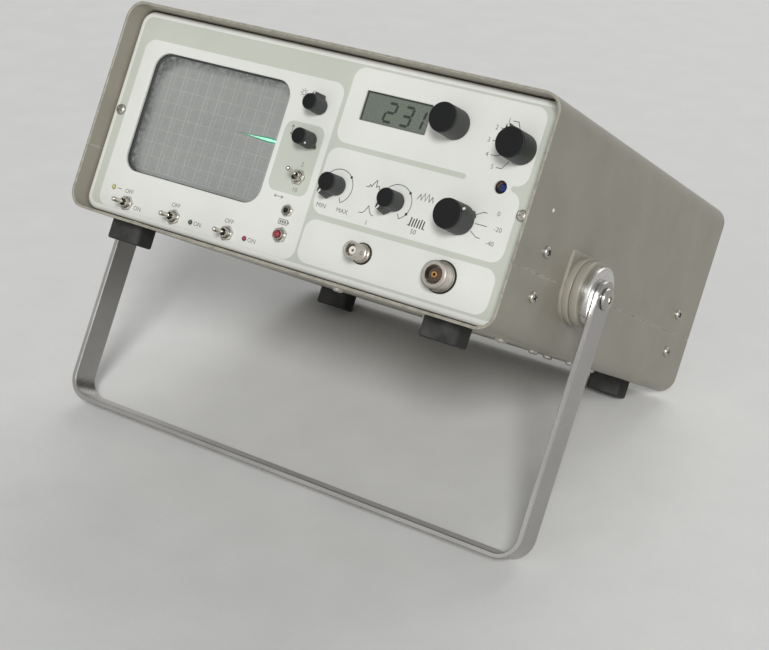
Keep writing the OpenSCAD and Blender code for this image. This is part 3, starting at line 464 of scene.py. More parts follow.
class Shader:
    """A short way to add and join shader nodes."""

    def __init__(self, tree: Tree) -> None:
        """Work in one node tree."""
        self.tree = tree

    def feed(self, node: Node, inputs: dict) -> None:
        """Set or join inputs of a node.

        Args:
            node: The node.
            inputs: Values or sockets for its inputs, by name or number.
        """
        for key, value in inputs.items():
            if isinstance(value, Socket):
                self.tree.links.new(value, node.inputs[key])
            else:
                node.inputs[key].default_value = value

    def add(self, kind: str, inputs: dict | None = None, **settings: object) -> Node:
        """Add a node.

        Args:
            kind: Type of the node.
            inputs: Values or sockets for its inputs, by name or number.
            **settings: Its other settings.

        Returns:
            The node.
        """
        node = self.tree.nodes.new(kind)
        for key, value in settings.items():
            setattr(node, key, value)
        self.feed(node, inputs or {})
        return node

    def math(self, operation: str, a: object, b: object) -> Socket:
        """Join two values by a sum, product or the like."""
        return self.add("ShaderNodeMath", {0: a, 1: b}, operation=operation).outputs[0]

    def product(self, first: object, *others: object) -> Socket:
        """Multiply values.

        Args:
            first: The first value.
            *others: What it is multiplied by.

        Returns:
            The product.
        """
        result = first
        for other in others:
            result = self.math("MULTIPLY", result, other)
        return result

    def vector(self, operation: str, *given: object) -> Node:
        """Join vectors by a sum, product or the like."""
        return self.add("ShaderNodeVectorMath", dict(enumerate(given)), operation=operation)

    def fit(self, value: object, source: tuple, target: tuple = (0.0, 1.0)) -> Socket:
        """Map a value from one range to another and hold it there."""
        inputs = {0: value, 1: source[0], 2: source[1], 3: target[0], 4: target[1]}
        return self.add("ShaderNodeMapRange", inputs).outputs[0]

    def mix(self, share: object, a: object, b: object) -> Socket:
        """Blend two colours by a mask."""
        return self.add("ShaderNodeMix", {0: share, 6: a, 7: b}, data_type="RGBA").outputs[2]

    def place(self, kind: str = "Object") -> Socket:
        """Give coordinates that are fixed to the piece."""
        return self.add("ShaderNodeTexCoord").outputs[kind]

    def noise(self, place: Socket, scale: object, detail: float) -> Socket:
        """Add noise of a scale at a place."""
        inputs = {"Vector": place, "Scale": scale, "Detail": detail}
        return self.add("ShaderNodeTexNoise", inputs).outputs[0]

    def group(self, tree: Tree, inputs: dict) -> bpy.types.bpy_prop_collection:
        """Place a node group with its own values and give its outputs."""
        return self.add("ShaderNodeGroup", inputs, node_tree=tree).outputs


def new_group(name: str, inputs: dict[str, float], outputs: list[str]) -> tuple[Tree, Shader, Node, Node]:
    """Start a shader node group.

    Args:
        name: Name of the group.
        inputs: Names and values of its number inputs.
        outputs: Names of its number outputs.

    Returns:
        The tree, its shader helper, its input node and its output node.
    """
    tree = bpy.data.node_groups.new(name, "ShaderNodeTree")
    for key, value in inputs.items():
        socket = tree.interface.new_socket(name=key, in_out="INPUT", socket_type="NodeSocketFloat")
        socket.default_value = value
    for key in outputs:
        tree.interface.new_socket(name=key, in_out="OUTPUT", socket_type="NodeSocketFloat")
    shader = Shader(tree)
    return tree, shader, shader.add("NodeGroupInput"), shader.add("NodeGroupOutput")


def grain_group() -> Tree:
    """Build the group of fine surface grain over broad, soft patches.

    Returns:
        The group.
    """
    patches, fine_share = 26.0, 0.3
    tree, shader, given, result = new_group("surface grain", {"Size": 0.5}, ["Tone", "Height"])
    place = shader.place()
    fine = shader.noise(place, shader.math("DIVIDE", 1 / MM, given.outputs["Size"]), 3.0)
    broad = shader.noise(place, patches, 4.0)
    tone = shader.math("ADD", shader.product(broad, 1 - fine_share), shader.product(fine, fine_share))
    shader.feed(result, {"Tone": shader.fit(tone, (0.3, 0.7)), "Height": fine})
    return tree


def wear_and_highlight_group() -> Tree:
    """Build the group that masks rubbed edges, which on the cover also stand in for a painted edge
    highlight.

    Returns:
        The group.
    """
    chips = 240.0
    tree, shader, given, result = new_group("rubbed edges and painted highlight", {"Width": 0.5, "Amount": 0.5}, ["Mask"])
    radius = shader.math("MULTIPLY", given.outputs["Width"], MM)
    bent = shader.add("ShaderNodeBevel", {"Radius": radius}, samples=4).outputs[0]
    flat = shader.add("ShaderNodeNewGeometry").outputs["Normal"]
    edge = shader.fit(shader.vector("DOT_PRODUCT", bent, flat).outputs["Value"], (0.995, 0.9))
    patch = shader.fit(shader.noise(shader.place(), chips, 5.0), (0.36, 0.56))
    shader.feed(result, {"Mask": shader.product(edge, patch, given.outputs["Amount"])})
    return tree


def outer_shade_group() -> Tree:
    """Build the group that masks painted shade on the outer faces of a piece, in soft patches.

    Returns:
        The group.
    """
    shade_blotches, middle = 34.0, (0.5, 0.5, 0.5)
    tree, shader, given, result = new_group("painted outer shade", {"Amount": 0.0}, ["Mask"])
    off = shader.vector("SUBTRACT", shader.place("Generated"), middle).outputs[0]
    away = shader.vector("DOT_PRODUCT", off, shader.place("Normal")).outputs["Value"]
    patch = shader.fit(shader.noise(shader.place(), shade_blotches, 6.0), (0.3, 0.7), (0.5, 1.0))
    mask = shader.product(shader.fit(away, (0.0, 0.1)), patch, given.outputs["Amount"])
    shader.feed(result, {"Mask": mask})
    return tree


def dust_group() -> Tree:
    """Build the group that masks dust on faces that look up.

    Returns:
        The group.
    """
    flecks = 70.0
    tree, shader, given, result = new_group("settled dust", {"Amount": 0.2}, ["Mask"])
    normal = shader.add("ShaderNodeNewGeometry").outputs["Normal"]
    up = shader.add("ShaderNodeSeparateXYZ", {0: normal}).outputs["Z"]
    patch = shader.fit(shader.noise(shader.place(), flecks, 8.0), (0.4, 0.75))
    mask = shader.product(shader.fit(up, (0.2, 1.0)), patch, given.outputs["Amount"])
    shader.feed(result, {"Mask": mask})
    return tree


def brushed_group() -> Tree:
    """Build the group of fine lines left by brushing or turning.

    Returns:
        The group.
    """
    names = {"Along X": 1.0, "Along Y": 1.0, "Along Z": 1.0}
    tree, shader, given, result = new_group("brushed lines", names, ["Lines"])
    stretch = shader.add("ShaderNodeCombineXYZ", {i: given.outputs[i] for i in range(3)}).outputs[0]
    pulled = shader.vector("MULTIPLY", shader.place(), stretch).outputs[0]
    shader.feed(result, {"Lines": shader.noise(pulled, 1.0, 4.0)})
    return tree


GRAIN = grain_group()
WEAR_AND_HIGHLIGHT = wear_and_highlight_group()
OUTER_SHADE = outer_shade_group()
DUST = dust_group()
BRUSHED = brushed_group()


@dataclass
class Look:
    """What a material's surface is given while it is dressed."""

    shader: Shader
    bsdf: Node
    colour: Socket
    gloss: Socket
    height: Socket

    def cover(self, mask: Socket, colour: Colour) -> None:
        """Lay a colour over the surface by a mask."""
        self.colour = self.shader.mix(mask, self.colour, linear(colour))

    def give(self, inputs: dict[str, object]) -> None:
        """Set or join inputs of the surface's shader node."""
        self.shader.feed(self.bsdf, inputs)


@dataclass(frozen=True)
class Finish:
    """A surface with fine grain, soft patches of tone and uneven gloss."""

    name: str
    colour: Colour
    roughness: float = 0.5
    grain: float = 0.5
    tone: float = 0.06
    relief: float = 0.08

    GLOSS_SPREAD = (-0.05, 0.06)

    def material(self) -> bpy.types.Material:
        """Give the material, and build it the first time."""
        return bpy.data.materials.get(self.name) or self.build()

    def build(self) -> bpy.types.Material:
        """Build the material.

        Returns:
            The material with its nodes.
        """
        material = bpy.data.materials.new(self.name)
        material.use_nodes = True
        material.node_tree.nodes.clear()
        shader = Shader(material.node_tree)
        bsdf = shader.add("ShaderNodeBsdfPrincipled")
        shader.add("ShaderNodeOutputMaterial", {"Surface": bsdf.outputs[0]})
        grain = shader.group(GRAIN, {"Size": self.grain})
        dark = linear(shade(self.colour, 1 - self.tone))
        light = linear(shade(self.colour, 1 + self.tone / 2))
        colour = shader.mix(grain["Tone"], dark, light)
        spread = tuple(self.roughness + step for step in self.GLOSS_SPREAD)
        gloss = shader.fit(grain["Tone"], (0.0, 1.0), spread)
        self.dress(Look(shader, bsdf, colour, gloss, grain["Height"]))
        return material

    def dress(self, look: Look) -> None:
        """Join colour, gloss and relief to the shader.

        Args:
            look: What the surface is given.
        """
        inputs = {"Strength": self.relief, "Distance": MM / 10, "Height": look.height}
        bump = look.shader.add("ShaderNodeBump", inputs)
        look.give({"Base Color": look.colour, "Roughness": look.gloss, "Normal": bump.outputs[0]})


@dataclass(frozen=True)
class Paint(Finish):
    """Sprayed paint with painted shade on its outer faces, rubbed along its edges, which on the cover also
    carry a painted highlight, and a little dusty.
    """

    wear_and_highlight: float = 0.5
    wear_and_highlight_colour: Colour = (196, 192, 182)
    wear_and_highlight_width: float = 0.6
    dust: float = 0.15
    dust_colour: Colour = (186, 182, 172)
    outer_shade: float = 0.0
    outer_shade_colour: Colour = (114, 111, 101)

    def dress(self, look: Look) -> None:
        """Add painted shade on outer faces, rubbed edges with their painted highlight, and dust under the
        plain finish.

        Args:
            look: What the surface is given.
        """
        group = look.shader.group
        # Painted shade: outer faces are darkened towards the shade colour.
        look.cover(group(OUTER_SHADE, {"Amount": self.outer_shade})["Mask"], self.outer_shade_colour)
        # Rubbed edges; on the cover the light edge colour is also a painted highlight.
        look.cover(group(WEAR_AND_HIGHLIGHT, {"Width": self.wear_and_highlight_width, "Amount": self.wear_and_highlight})["Mask"], self.wear_and_highlight_colour)
        look.cover(group(DUST, {"Amount": self.dust})["Mask"], self.dust_colour)
        super().dress(look)


@dataclass(frozen=True)
class Moulded(Finish):
    """Moulded plastic or rubber with a matt grain."""

    gloss_coat: float = 0.0
    coat_roughness: float = 0.12
    dust: float = 0.12
    dust_colour: Colour = (150, 148, 142)
    sheen: float = 0.5

    def dress(self, look: Look) -> None:
        """Add dust and a thin clear gloss.

        Args:
            look: What the surface is given.
        """
        look.cover(look.shader.group(DUST, {"Amount": self.dust})["Mask"], self.dust_colour)
        look.give({"Specular IOR Level": self.sheen})
        look.give({"Coat Weight": self.gloss_coat, "Coat Roughness": self.coat_roughness})
        super().dress(look)


@dataclass(frozen=True)
class Metal(Finish):
    """Bare or plated metal with lines from brushing, drawing or turning."""

    lines: tuple[float, float, float] = (900.0, 900.0, 900.0)
    tarnish: Colour = (120, 112, 98)

    def dress(self, look: Look) -> None:
        """Add lines and a dull tarnish.

        Args:
            look: What the surface is given.
        """
        shader = look.shader
        lines = shader.group(BRUSHED, dict(enumerate(self.lines)))["Lines"]
        look.cover(shader.fit(look.height, (0.56, 0.8), (0.0, 0.5)), self.tarnish)
        look.gloss = shader.math("ADD", look.gloss, shader.fit(lines, (0.3, 0.7), (-0.06, 0.1)))
        look.height = lines
        look.give({"Metallic": 1.0})
        super().dress(look)


@dataclass(frozen=True)
class Clear(Finish):
    """Tinted glass or clear sheet that shows what lies behind it."""

    veil: float = 0.2

    def dress(self, look: Look) -> None:
        """Let the surface through, less so where it is dusty.

        Args:
            look: What the surface is given.
        """
        shown = look.shader.fit(look.height, (0.35, 0.75), (self.veil * 0.8, self.veil * 1.3))
        look.give({"Alpha": shown})
        super().dress(look)


@dataclass(frozen=True)
class Lit(Finish):
    """A glossy coloured lens, or a lit line on the tube, that glows."""

    glow: float = 0.3
    lens_coat: float = 0.8
    fade: tuple[float, float] | None = None
    fade_power: float = 1.3

    def dress(self, look: Look) -> None:
        """Add the glow, faded from left to right where asked.

        Args:
            look: What the surface is given.
        """
        shader = look.shader
        look.give({"Emission Color": linear(self.colour), "Emission Strength": self.glow})
        look.give({"Coat Weight": 0.0 if self.fade else self.lens_coat})
        if self.fade:
            across = shader.add("ShaderNodeSeparateXYZ", {0: shader.place()}).outputs["X"]
            shown = shader.fit(across, tuple(edge * MM for edge in self.fade))
            look.give({"Alpha": shader.math("POWER", shown, self.fade_power)})
        super().dress(look)


@dataclass(frozen=True)
class PaintedShade(Finish):
    """Painted shade along the screen's border, deepest at the left and top and thinning out towards the
    middle, with light specks in it.
    """

    size: tuple[float, float] = (100.0, 73.0)
    corner: float = 16.0
    fade: float = 3.0
    spill: float = 4.5
    # Moves the middle right and down, so that the painted shade is deepest at the left and top.
    shift: tuple[float, float] = (5.5, -3.6)
    speck: Colour = (206, 208, 202)
    speck_scale: float = 330.0

    def dress(self, look: Look) -> None:
        """Fade the painted shade by its distance from the shifted middle and break it up.

        Args:
            look: What the surface is given.
        """
        shader = look.shader
        wide, tall = self.size
        place = shader.place("Generated")
        middle = (0.5 + self.shift[0] / wide, 0.0, 0.5 + self.shift[1] / tall)
        flat = (wide / 2 - self.corner, 0.0, tall / 2 - self.corner)
        for step in (("SUBTRACT", middle), ("MULTIPLY", (wide, 0.0, tall)), ("ABSOLUTE",),
                     ("SUBTRACT", flat), ("MAXIMUM", (0.0, 0.0, 0.0))):
            place = shader.vector(step[0], place, *step[1:]).outputs[0]
        reach = shader.vector("LENGTH", place).outputs["Value"]
        edge = shader.fit(reach, (self.corner - self.fade, self.corner + self.spill))
        # Noise that breaks up the painted shade and scatters light specks in it.
        painted_shade = shader.noise(shader.place(), self.speck_scale, 3.0)
        look.cover(shader.product(shader.fit(painted_shade, (0.56, 0.64), (0.0, 0.9)), edge), self.speck)
        depth = shader.fit(painted_shade, (0.35, 0.6), (0.5, 0.25))
        look.give({"Alpha": shader.product(shader.math("POWER", edge, 1.2), depth)})
        super().dress(look)


# The cover's outer faces get painted shade; its light edge colour is partly rubbed paint and partly a
# painted edge highlight.
COVER_PAINT = Paint("cover paint", (157, 152, 139), 0.4, 0.35, 0.05, 0.12, wear_and_highlight=1.0,
                    wear_and_highlight_colour=(214, 209, 196), outer_shade=0.45)
PANEL_WHITE = Paint("panel white", (226, 227, 221), 0.42, 0.5, 0.03, 0.05, wear_and_highlight=0.3,
                    wear_and_highlight_colour=(196, 194, 186), dust=0.05)
FIELD_GREY = Finish("field grey-green", (196, 200, 189), 0.45, 0.5, 0.03, 0.05)
INK = Finish("legend ink", (118, 118, 114), 0.6, 0.3, 0.18, 0.05)
LINE_INK = Finish("line ink", (62, 64, 62), 0.6, 0.3, 0.15, 0.05)
MARK_WHITE = Finish("knob mark white", (226, 226, 220), 0.5, 0.3, 0.08, 0.05)
HUB_PAINT = Paint("hub paint", (150, 146, 133), 0.36, 0.35, 0.05, 0.1, wear_and_highlight=0.7,
                  wear_and_highlight_colour=(196, 191, 177))
BLACK_PLASTIC = Moulded("black plastic", (38, 38, 38), 0.5, 0.3, 0.15, 0.1)
# The grip is lighter grey than the black top: painted bounce light from the panel.
KNOB_SIDE_PAINTED_LIGHT = Moulded("knob side with painted light", (57, 60, 57), 0.55, 0.22, 0.12, 0.16, dust=0.15)
KNOB_TOP = Moulded("knob top", (11, 12, 14), 0.48, 0.25, 0.1, 0.1, dust=0.03, sheen=0.25)
DEEP_BLACK = Moulded("deep black", (9, 9, 10), 0.5, 0.25, 0.1, 0.08, dust=0.0)
FOOT_RUBBER = Moulded("foot rubber", (34, 34, 34), 0.78, 0.6, 0.2, 0.3, dust=0.5)
INSULATOR = Moulded("white insulator", (226, 225, 218), 0.5, 0.4, 0.05, 0.06)
# Dark brown insulator for the threaded jack: darkened as painted shade in the jack's mouth.
INSULATOR_IN_SHADE = Moulded("insulator in painted shade", (80, 64, 54), 0.45, 0.4, 0.12, 0.08)
BUTTON_RED = Moulded("button red", (150, 28, 38), 0.3, 0.5, 0.08, 0.05, gloss_coat=0.8)
# Dark blue: the trimmer's blue darkened as painted shade of the hole.
TRIMMER_BLUE_SHADED = Moulded("trimmer blue", (12, 42, 104), 0.3, 0.5, 0.3, 0.05, gloss_coat=0.25, dust=0.0)
BOARD_GREEN = Moulded("board green", (44, 92, 56), 0.5, 0.5, 0.15, 0.1, gloss_coat=0.3)
BATTERY_CASE = Moulded("battery case", (52, 54, 60), 0.55, 0.5, 0.12, 0.12)
WINDING = Moulded("yoke winding", (112, 70, 38), 0.4, 0.5, 0.25, 0.3, gloss_coat=0.3)
TUBE_FACE = Finish("tube face", (176, 178, 174), 0.35, 0.45, 0.05, 0.05)
# Black for the screen's edge and the readout's gasket; where drawn wider at the left and top it is painted
# shadow.
DARK_EDGE_SHADOW = Moulded("dark edge and painted shadow", (44, 50, 48), 0.6, 0.5, 0.2, 0.1)
FILTER = Clear("screen filter", (132, 134, 132), 0.2, 0.8, 0.05, 0.02, veil=0.12)
GRATICULE = Finish("graticule line", (199, 200, 197), 0.5, 0.5, 0.06, 0.02)
READOUT_FACE = Moulded("readout face", (104, 112, 101), 0.26, 0.8, 0.06, 0.02, gloss_coat=0.25, dust=0.08)
READOUT_DIGIT = Finish("readout digit", (46, 54, 48), 0.3, 0.6, 0.1, 0.02)
BAIL_METAL = Metal("bail metal", (178, 176, 174), 0.34, 0.9, 0.06, 0.06, lines=(40.0, 40.0, 3200.0),
                   tarnish=(132, 129, 126))
DISC_METAL = Metal("turned disc", (214, 213, 210), 0.26, 0.8, 0.05, 0.08, lines=(4200.0, 300.0, 300.0))
SCREW_METAL = Metal("plated screw", (190, 187, 180), 0.3, 0.5, 0.1, 0.1)
PLATED = Metal("bright plate", (204, 201, 194), 0.22, 0.5, 0.08, 0.08)
NICKEL = Metal("satin nickel", (200, 194, 186), 0.34, 0.5, 0.08, 0.1, tarnish=(142, 124, 108))
CONTROL_METAL = Metal("control metal", (156, 154, 148), 0.4, 0.6, 0.1, 0.1)
RAIL_METAL = Metal("mill metal", (172, 171, 168), 0.44, 0.9, 0.08, 0.1, lines=(60.0, 60.0, 2400.0))
CORE_IRON = Metal("core iron", (98, 92, 84), 0.55, 0.6, 0.15, 0.3, lines=(30.0, 1400.0, 30.0))
CONTACT_GOLD = Metal("contact gold", (224, 172, 106), 0.28, 0.4, 0.08, 0.06, tarnish=(150, 96, 56))
LAMP_YELLOW = Lit("yellow lamp", (182, 178, 112), 0.2, 0.6, 0.1, 0.03, glow=0.1)
LAMP_DARK = Lit("unlit lamp", (74, 84, 74), 0.22, 0.6, 0.1, 0.03, glow=0.0)
LAMP_RED = Lit("red lamp", (126, 20, 46), 0.22, 0.6, 0.1, 0.03, glow=0.12)


@dataclass
class Piece:
    """One finished piece of the object."""

    name: str
    form: Form
    finish: Finish
    slot: Slot
    body: str = CABINET
    nodes: tuple[str, ...] = ()
    sharp: float = 32.0

    def place(self, drawing: Drawing) -> None:
        """Put the piece on the object.

        Args:
            drawing: Frame that the form is drawn in.
        """
        mesh = welded(self.form, drawing.lean)
        mesh.name = self.name
        mesh.shade_smooth()
        mesh.set_sharp_from_angle(angle=math.radians(self.sharp))
        mesh.materials.append(self.finish.material())
        made = bpy.data.objects.new(self.name, mesh)
        bpy.context.scene.collection.objects.link(made)
        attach(made, self.body)
        if self.nodes:
            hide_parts(*self.nodes)
        LOG.info("%s rides on %s", self.name, self.body)


@dataclass
class Covers:
    """The two sheet covers that meet at the seam."""

    drawing: Drawing
    wall: float = 1.6
    corner: float = 11.0
    rim: float = 0.35

    def section(self, low: float, high: float, side: float, floor: float, inset: float) -> Outline:
        """Draw one cover's wall from seam to seam in X and Z.

        Args:
            low: Height of the seam edge.
            high: Height of the flat side of the cover.
            side: Half of the cabinet's width.
            floor: 1 for a cover that closes the top, -1 for the bottom.
            inset: How far the outline is drawn in from the outside.

        Returns:
            The path from the right seam round to the left one.
        """
        r = self.corner - inset
        x = side - self.corner
        z = high - floor * self.corner
        right = arc(x, z, r, 0, 90 * floor, 10)
        left = arc(-x, z, r, 90 * floor, 180 * floor, 10)
        return [(side - inset, low), *right, *left, (inset - side, low)]

    def build(self) -> None:
        """Draw both covers with softened rims."""
        for name, floor in (("top_cover", 1), ("bottom_cover", -1)):
            low, high = self.drawing.box(name)
            seam, flat = (low.z, high.z) if floor > 0 else (high.z, low.z)
            outer = self.section(seam, flat, high.x, floor, 0)
            inner = self.section(seam, flat, high.x, floor, self.wall)
            wall = outer + inner[::-1]
            thin = grow(wall, -self.rim)
            depths = [(thin, low.y), (wall, low.y + self.rim), (wall, high.y - self.rim), (thin, high.y)]
            rings = [[Vector((x, y, z)) for x, z in outline] for outline, y in depths]
            form = Form().loft(rings)
            if floor < 0:
                self.add_lips(form, low, high)
            Piece(f"{name}_shell", form, COVER_PAINT, Slot.COVER, nodes=(name,)).place(self.drawing)

    def add_lips(self, form: Form, low: Vector, high: Vector) -> None:
        """Close the seam with a thin lip halfway through each side wall.

        Args:
            form: The bottom cover.
            low: Lowest corner of the cover.
            high: Highest corner of the cover.
        """
        lip, gap = 0.6, 0.4
        length = high.y - low.y - 4 * self.rim
        for side in (-1, 1):
            place = Matrix.Translation((side * (high.x - self.wall / 2), (low.y + high.y) / 2, high.z))
            form.join(bar((lip, length, 1.5 * gap), 0.05, -gap / 4), place)


@dataclass
class FrontPanel:
    """The recessed pan with its rolled edge, and the holes that the controls pass through."""

    drawing: Drawing
    corner: float = 8.8
    roll: float = 2.6
    window: Box = (-124.0, 30.2, -24.0, 103.2)
    window_r: float = 10.0
    readout: Box = (24.1, 91.9, 67.1, 108.9)
    readout_r: float = 0.6

    def holes(self) -> list[Outline]:
        """Give the outlines of every hole in the panel's face.

        Returns:
            The outlines.
        """
        rounds = [("tuning", 3.9), ("band", 3.9), ("reference", 3.9), ("sweep", 2.5), ("span", 2.5),
                  ("intensity", 2.5), ("position", 2.5)]
        found = [self.hole(self.drawing.anchor(f"{name}_turn"), r) for name, r in rounds]
        found += [self.hole(self.drawing.anchor(f"{name}_throw"), 3.2) for name in TOGGLES]
        found += [self.hole(self.drawing.anchor("sideways_adjust"), 2.5)]
        found += [self.hole(self.drawing.anchor("zero_adjust"), 3.6)]
        nodes = [("monitor_button", 3.2), ("power_lamp", 1.45), ("charge_lamp", 1.45),
                 ("supply_lamp", 1.45), ("bnc_jack", 4.7), ("n_jack", 7.6)]
        found += [self.hole(self.drawing.centre(name), r) for name, r in nodes]
        found.append(round_rect(*self.window, self.window_r))
        found.append(round_rect(*self.readout, self.readout_r, 3))
        return found

    def hole(self, spot: Vector, r: float) -> Outline:
        """Give a round hole about a spot."""
        return circle(spot.x, spot.z, r)

    def build(self) -> None:
        """Draw the pan as one closed sheet."""
        low, high = self.drawing.box("front_panel")
        outer = round_rect(low.x, low.z, high.x, high.z, self.corner, 10)
        depth = high.y - low.y
        form = Form()
        skins = []
        for inset in (0.0, PANEL_SHEET):
            r = self.roll - inset
            rings = [level(grow(outer, -inset), -depth)]
            for x, z in arc(0, 0, r, 0, 90, 6):
                rings.append(level(grow(outer, -inset - r + x), z - self.roll))
            skins.append(rings)
        front, back = skins
        place = self.drawing.on_panel(0, 0)
        form.loft(back[::-1] + front, place, capped=False)
        face = [(point.x, point.y) for point in front[-1]]
        rear = [(point.x, point.y) for point in back[-1]]
        edge = 0.25
        holes = self.holes()
        wide = [grow(hole, edge) for hole in holes]
        for hole, mouth in zip(holes, wide):
            form.loft([level(hole, -PANEL_SHEET), level(hole, -edge), level(mouth, 0)], place, capped=False)
        for outlines, z in (([face, *wide], 0), ([rear, *holes], -PANEL_SHEET)):
            rows = [level(outline, z) for outline in outlines]
            form.take([point for row in rows for point in row], tessellate_polygon(rows), place)
        Piece("front_panel_pan", form, PANEL_WHITE, Slot.PANEL, nodes=("front_panel",)).place(self.drawing)


class Layer(Enum):
    """Heights over the panel's face of the back and front of print, on the panel or on the grey field."""

    PANEL = (0.0, 0.04)
    FIELD = (0.04, 0.08)


class Inked(Form):
    """Thin print on one layer of the panel."""

    BARB = (1.2, 0.9)

    def __init__(self, layer: Layer, line: float) -> None:
        """Start with nothing printed.

        Args:
            layer: Layer that the print lies in.
            line: Width of its lines.
        """
        super().__init__()
        self.low, self.high = layer.value
        self.line = line

    def stroke(self, path: Outline, width: float | None = None) -> None:
        """Print a line along a path."""
        self.ribbon(path, width or self.line, self.low, self.high)

    def fill(self, outer: Outline, *holes: Outline) -> None:
        """Print an area."""
        self.plate(outer, list(holes), self.low, self.high)

    def write(self, words: str, height: float, x: float, z: float) -> None:
        """Print plain numbers or letters about a point."""
        self.join(lettering(words, height, x, z, self.low, self.high))

    def arrow(self, x: float, z: float, half: float, upright: bool = False) -> None:
        """Print a line with a head at both ends.

        Args:
            x: Middle of the arrow across the panel.
            z: Its height on the panel.
            half: Half of its length.
            upright: Whether it points up and down.
        """
        back, wide = self.BARB
        paths = [[(-half, 0.0), (half, 0.0)]]
        for way in (-1, 1):
            root = way * (half - back)
            paths.append([(root, wide), (way * half, 0.0), (root, -wide)])
        for path in paths:
            self.stroke([(x - v, z + u) if upright else (x + u, z + v) for u, v in path])


@dataclass
class PanelPrint:
    """The grey-green field round the white zones, and the lines, plain numbers and signs in them."""

    drawing: Drawing
    panel: FrontPanel
    border: float = 3.7
    border_r: float = 5.5
    zone_r: float = 7.0
    patch_r: float = 5.5
    left_zone: Box = (-134.5, 6.0, 10.4, 109.2)
    top_zone: Box = (13.2, 77.4, 134.8, 120.8)
    middle_zone: Box = (12.2, 35.8, 133.9, 74.4)
    low_zone: Box = (11.9, 7.4, 134.0, 32.6)
    patch: Box = (-20.8, 41.8, 6.2, 82.6)
    tab: tuple[float, float] = (99.0, 126.6)
    hole_rim: float = 0.4
    line: float = 0.38
    capital: float = 2.5
    scale_r: float = 9.6
    scale_ends: tuple[float, float] = (236.0, -62.0)
    scale_tick: float = 3.0
    dot_r: float = 0.8

    BANDS = range(116, 237, 30)
    LEVELS = range(30, -31, -30)

    def cut_out(self, outer: Outline) -> list[Outline]:
        """Give the panel's holes that lie inside an outline's box.

        Args:
            outer: The outline.

        Returns:
            The holes, each with a rim left round it.
        """
        xs, zs = [p[0] for p in outer], [p[1] for p in outer]

        def inside(hole: Outline) -> bool:
            """Say whether a whole hole lies in the box."""
            return all(min(xs) < x < max(xs) and min(zs) < z < max(zs) for x, z in hole)

        return [grow(hole, self.hole_rim) for hole in self.panel.holes() if inside(hole)]

    def joined(self) -> Outline:
        """Draw the two upper right zones, joined by a white tab round the trimmer's hole.

        Returns:
            One outline round both zones.
        """
        top = round_rect(*self.top_zone, self.zone_r)
        middle = round_rect(*self.middle_zone, self.zone_r)
        half = len(middle) // 2
        low, high = self.middle_zone[3], self.top_zone[1]
        a, b = self.tab
        r = (high - low) / 2
        left = arc(a - r, low + r, r, 90, -90, 8)
        right = arc(b + r, low + r, r, 270, 90, 8)
        return top + left + middle[half:] + middle[:half] + right

    def fields(self) -> None:
        """Draw the grey-green field with the zones left white, and the patch beside the screen."""
        low, high = self.drawing.box("front_panel")
        place = self.drawing.on_panel(0, 0)
        outer = grow(round_rect(low.x, low.z, high.x, high.z, self.border + self.border_r), -self.border)
        zones = [round_rect(*zone, self.zone_r) for zone in (self.left_zone, self.low_zone)]
        form = Form().plate(outer, [*zones, self.joined()], *Layer.PANEL.value, place=place)
        patch = round_rect(*self.patch, self.patch_r)
        form.plate(patch, self.cut_out(patch), *Layer.PANEL.value, place=place)
        Piece("panel_grey_field", form, FIELD_GREY, Slot.PANEL).place(self.drawing)

    def lines(self) -> Form:
        """Draw the knob scales, their dots and the leader lines.

        Returns:
            The print.
        """
        form = Inked(Layer.PANEL, self.line)
        for name, dots in (("sweep", (43,)), ("span", (43, -31))):
            spot = self.drawing.anchor(f"{name}_turn")
            scale = arc(spot.x, spot.z, self.scale_r, *self.scale_ends, 60)
            form.stroke(scale)
            form.stroke([polar(spot, self.scale_r - self.scale_tick, self.scale_ends[1]), scale[-1]])
            for dot in dots:
                form.fill(circle(*polar(spot, self.scale_r, dot), self.dot_r, 16))
        for name, turns, reaches, tail in (("band", self.BANDS, (9.4, 15.0), -3.4),
                                           ("reference", self.LEVELS, (8.8, 13.8), 2.2)):
            spot = self.drawing.anchor(f"{name}_turn")
            for turn in turns:
                start, knee = (polar(spot, r, turn) for r in reaches)
                form.stroke([start, knee, (knee[0] + tail, knee[1])])
        power = self.drawing.centre("power_lamp")
        form.stroke([(power.x + 3.2, power.z), (power.x + 6.2, power.z)])
        return form

    def waves(self) -> Form:
        """Draw the four trace signs round the span knob, from one peak to many.

        Returns:
            The print.
        """
        form = Inked(Layer.PANEL, self.line)
        jagged = [(-5.4, 0), (-3.8, 0.2), (-3.0, 1.7), (-2.2, 0.5), (-0.9, 3.0), (0.5, 4.8),
                  (1.0, 1.0), (2.4, 2.0), (3.4, 0.1), (5.0, 0)]
        single = [(-5.4, 0), (-3.2, 0.2), (-1.8, 1.5), (-0.2, 4.8), (0.9, 2.2), (2.4, 0.4), (4.2, 0)]
        for x0, z0, shape in ((47.4, 57.2, jagged), (47.6, 42.6, single)):
            form.stroke([(x0 + x, z0 + z) for x, z in shape])
        x0, z0, step, count, tall = 74.8, 57.8, 2.5, 4, 4.6
        path = [(x0, z0)]
        for i in range(count):
            share = 1 - 0.35 * abs(2 * i / (count - 1) - 1)
            path += [(x0 + (i + 0.6) * step, z0 + tall * share), (x0 + (i + 1) * step, z0)]
        form.stroke(path)
        x0, z0, step, count, tall, bold = 74.8, 43.2, 1.65, 6, 4.6, 0.75
        form.stroke([(x0 - 1.4, z0), (x0, z0 + 0.3)])
        for i in range(count):
            x = x0 + i * step
            form.stroke([(x, z0 - 0.5), (x + 0.5, z0 + tall * (1 - 0.12 * (i % 2)))], bold)
        form.stroke([(x, z0), (x + 1.6, z0 - 0.6)])
        return form

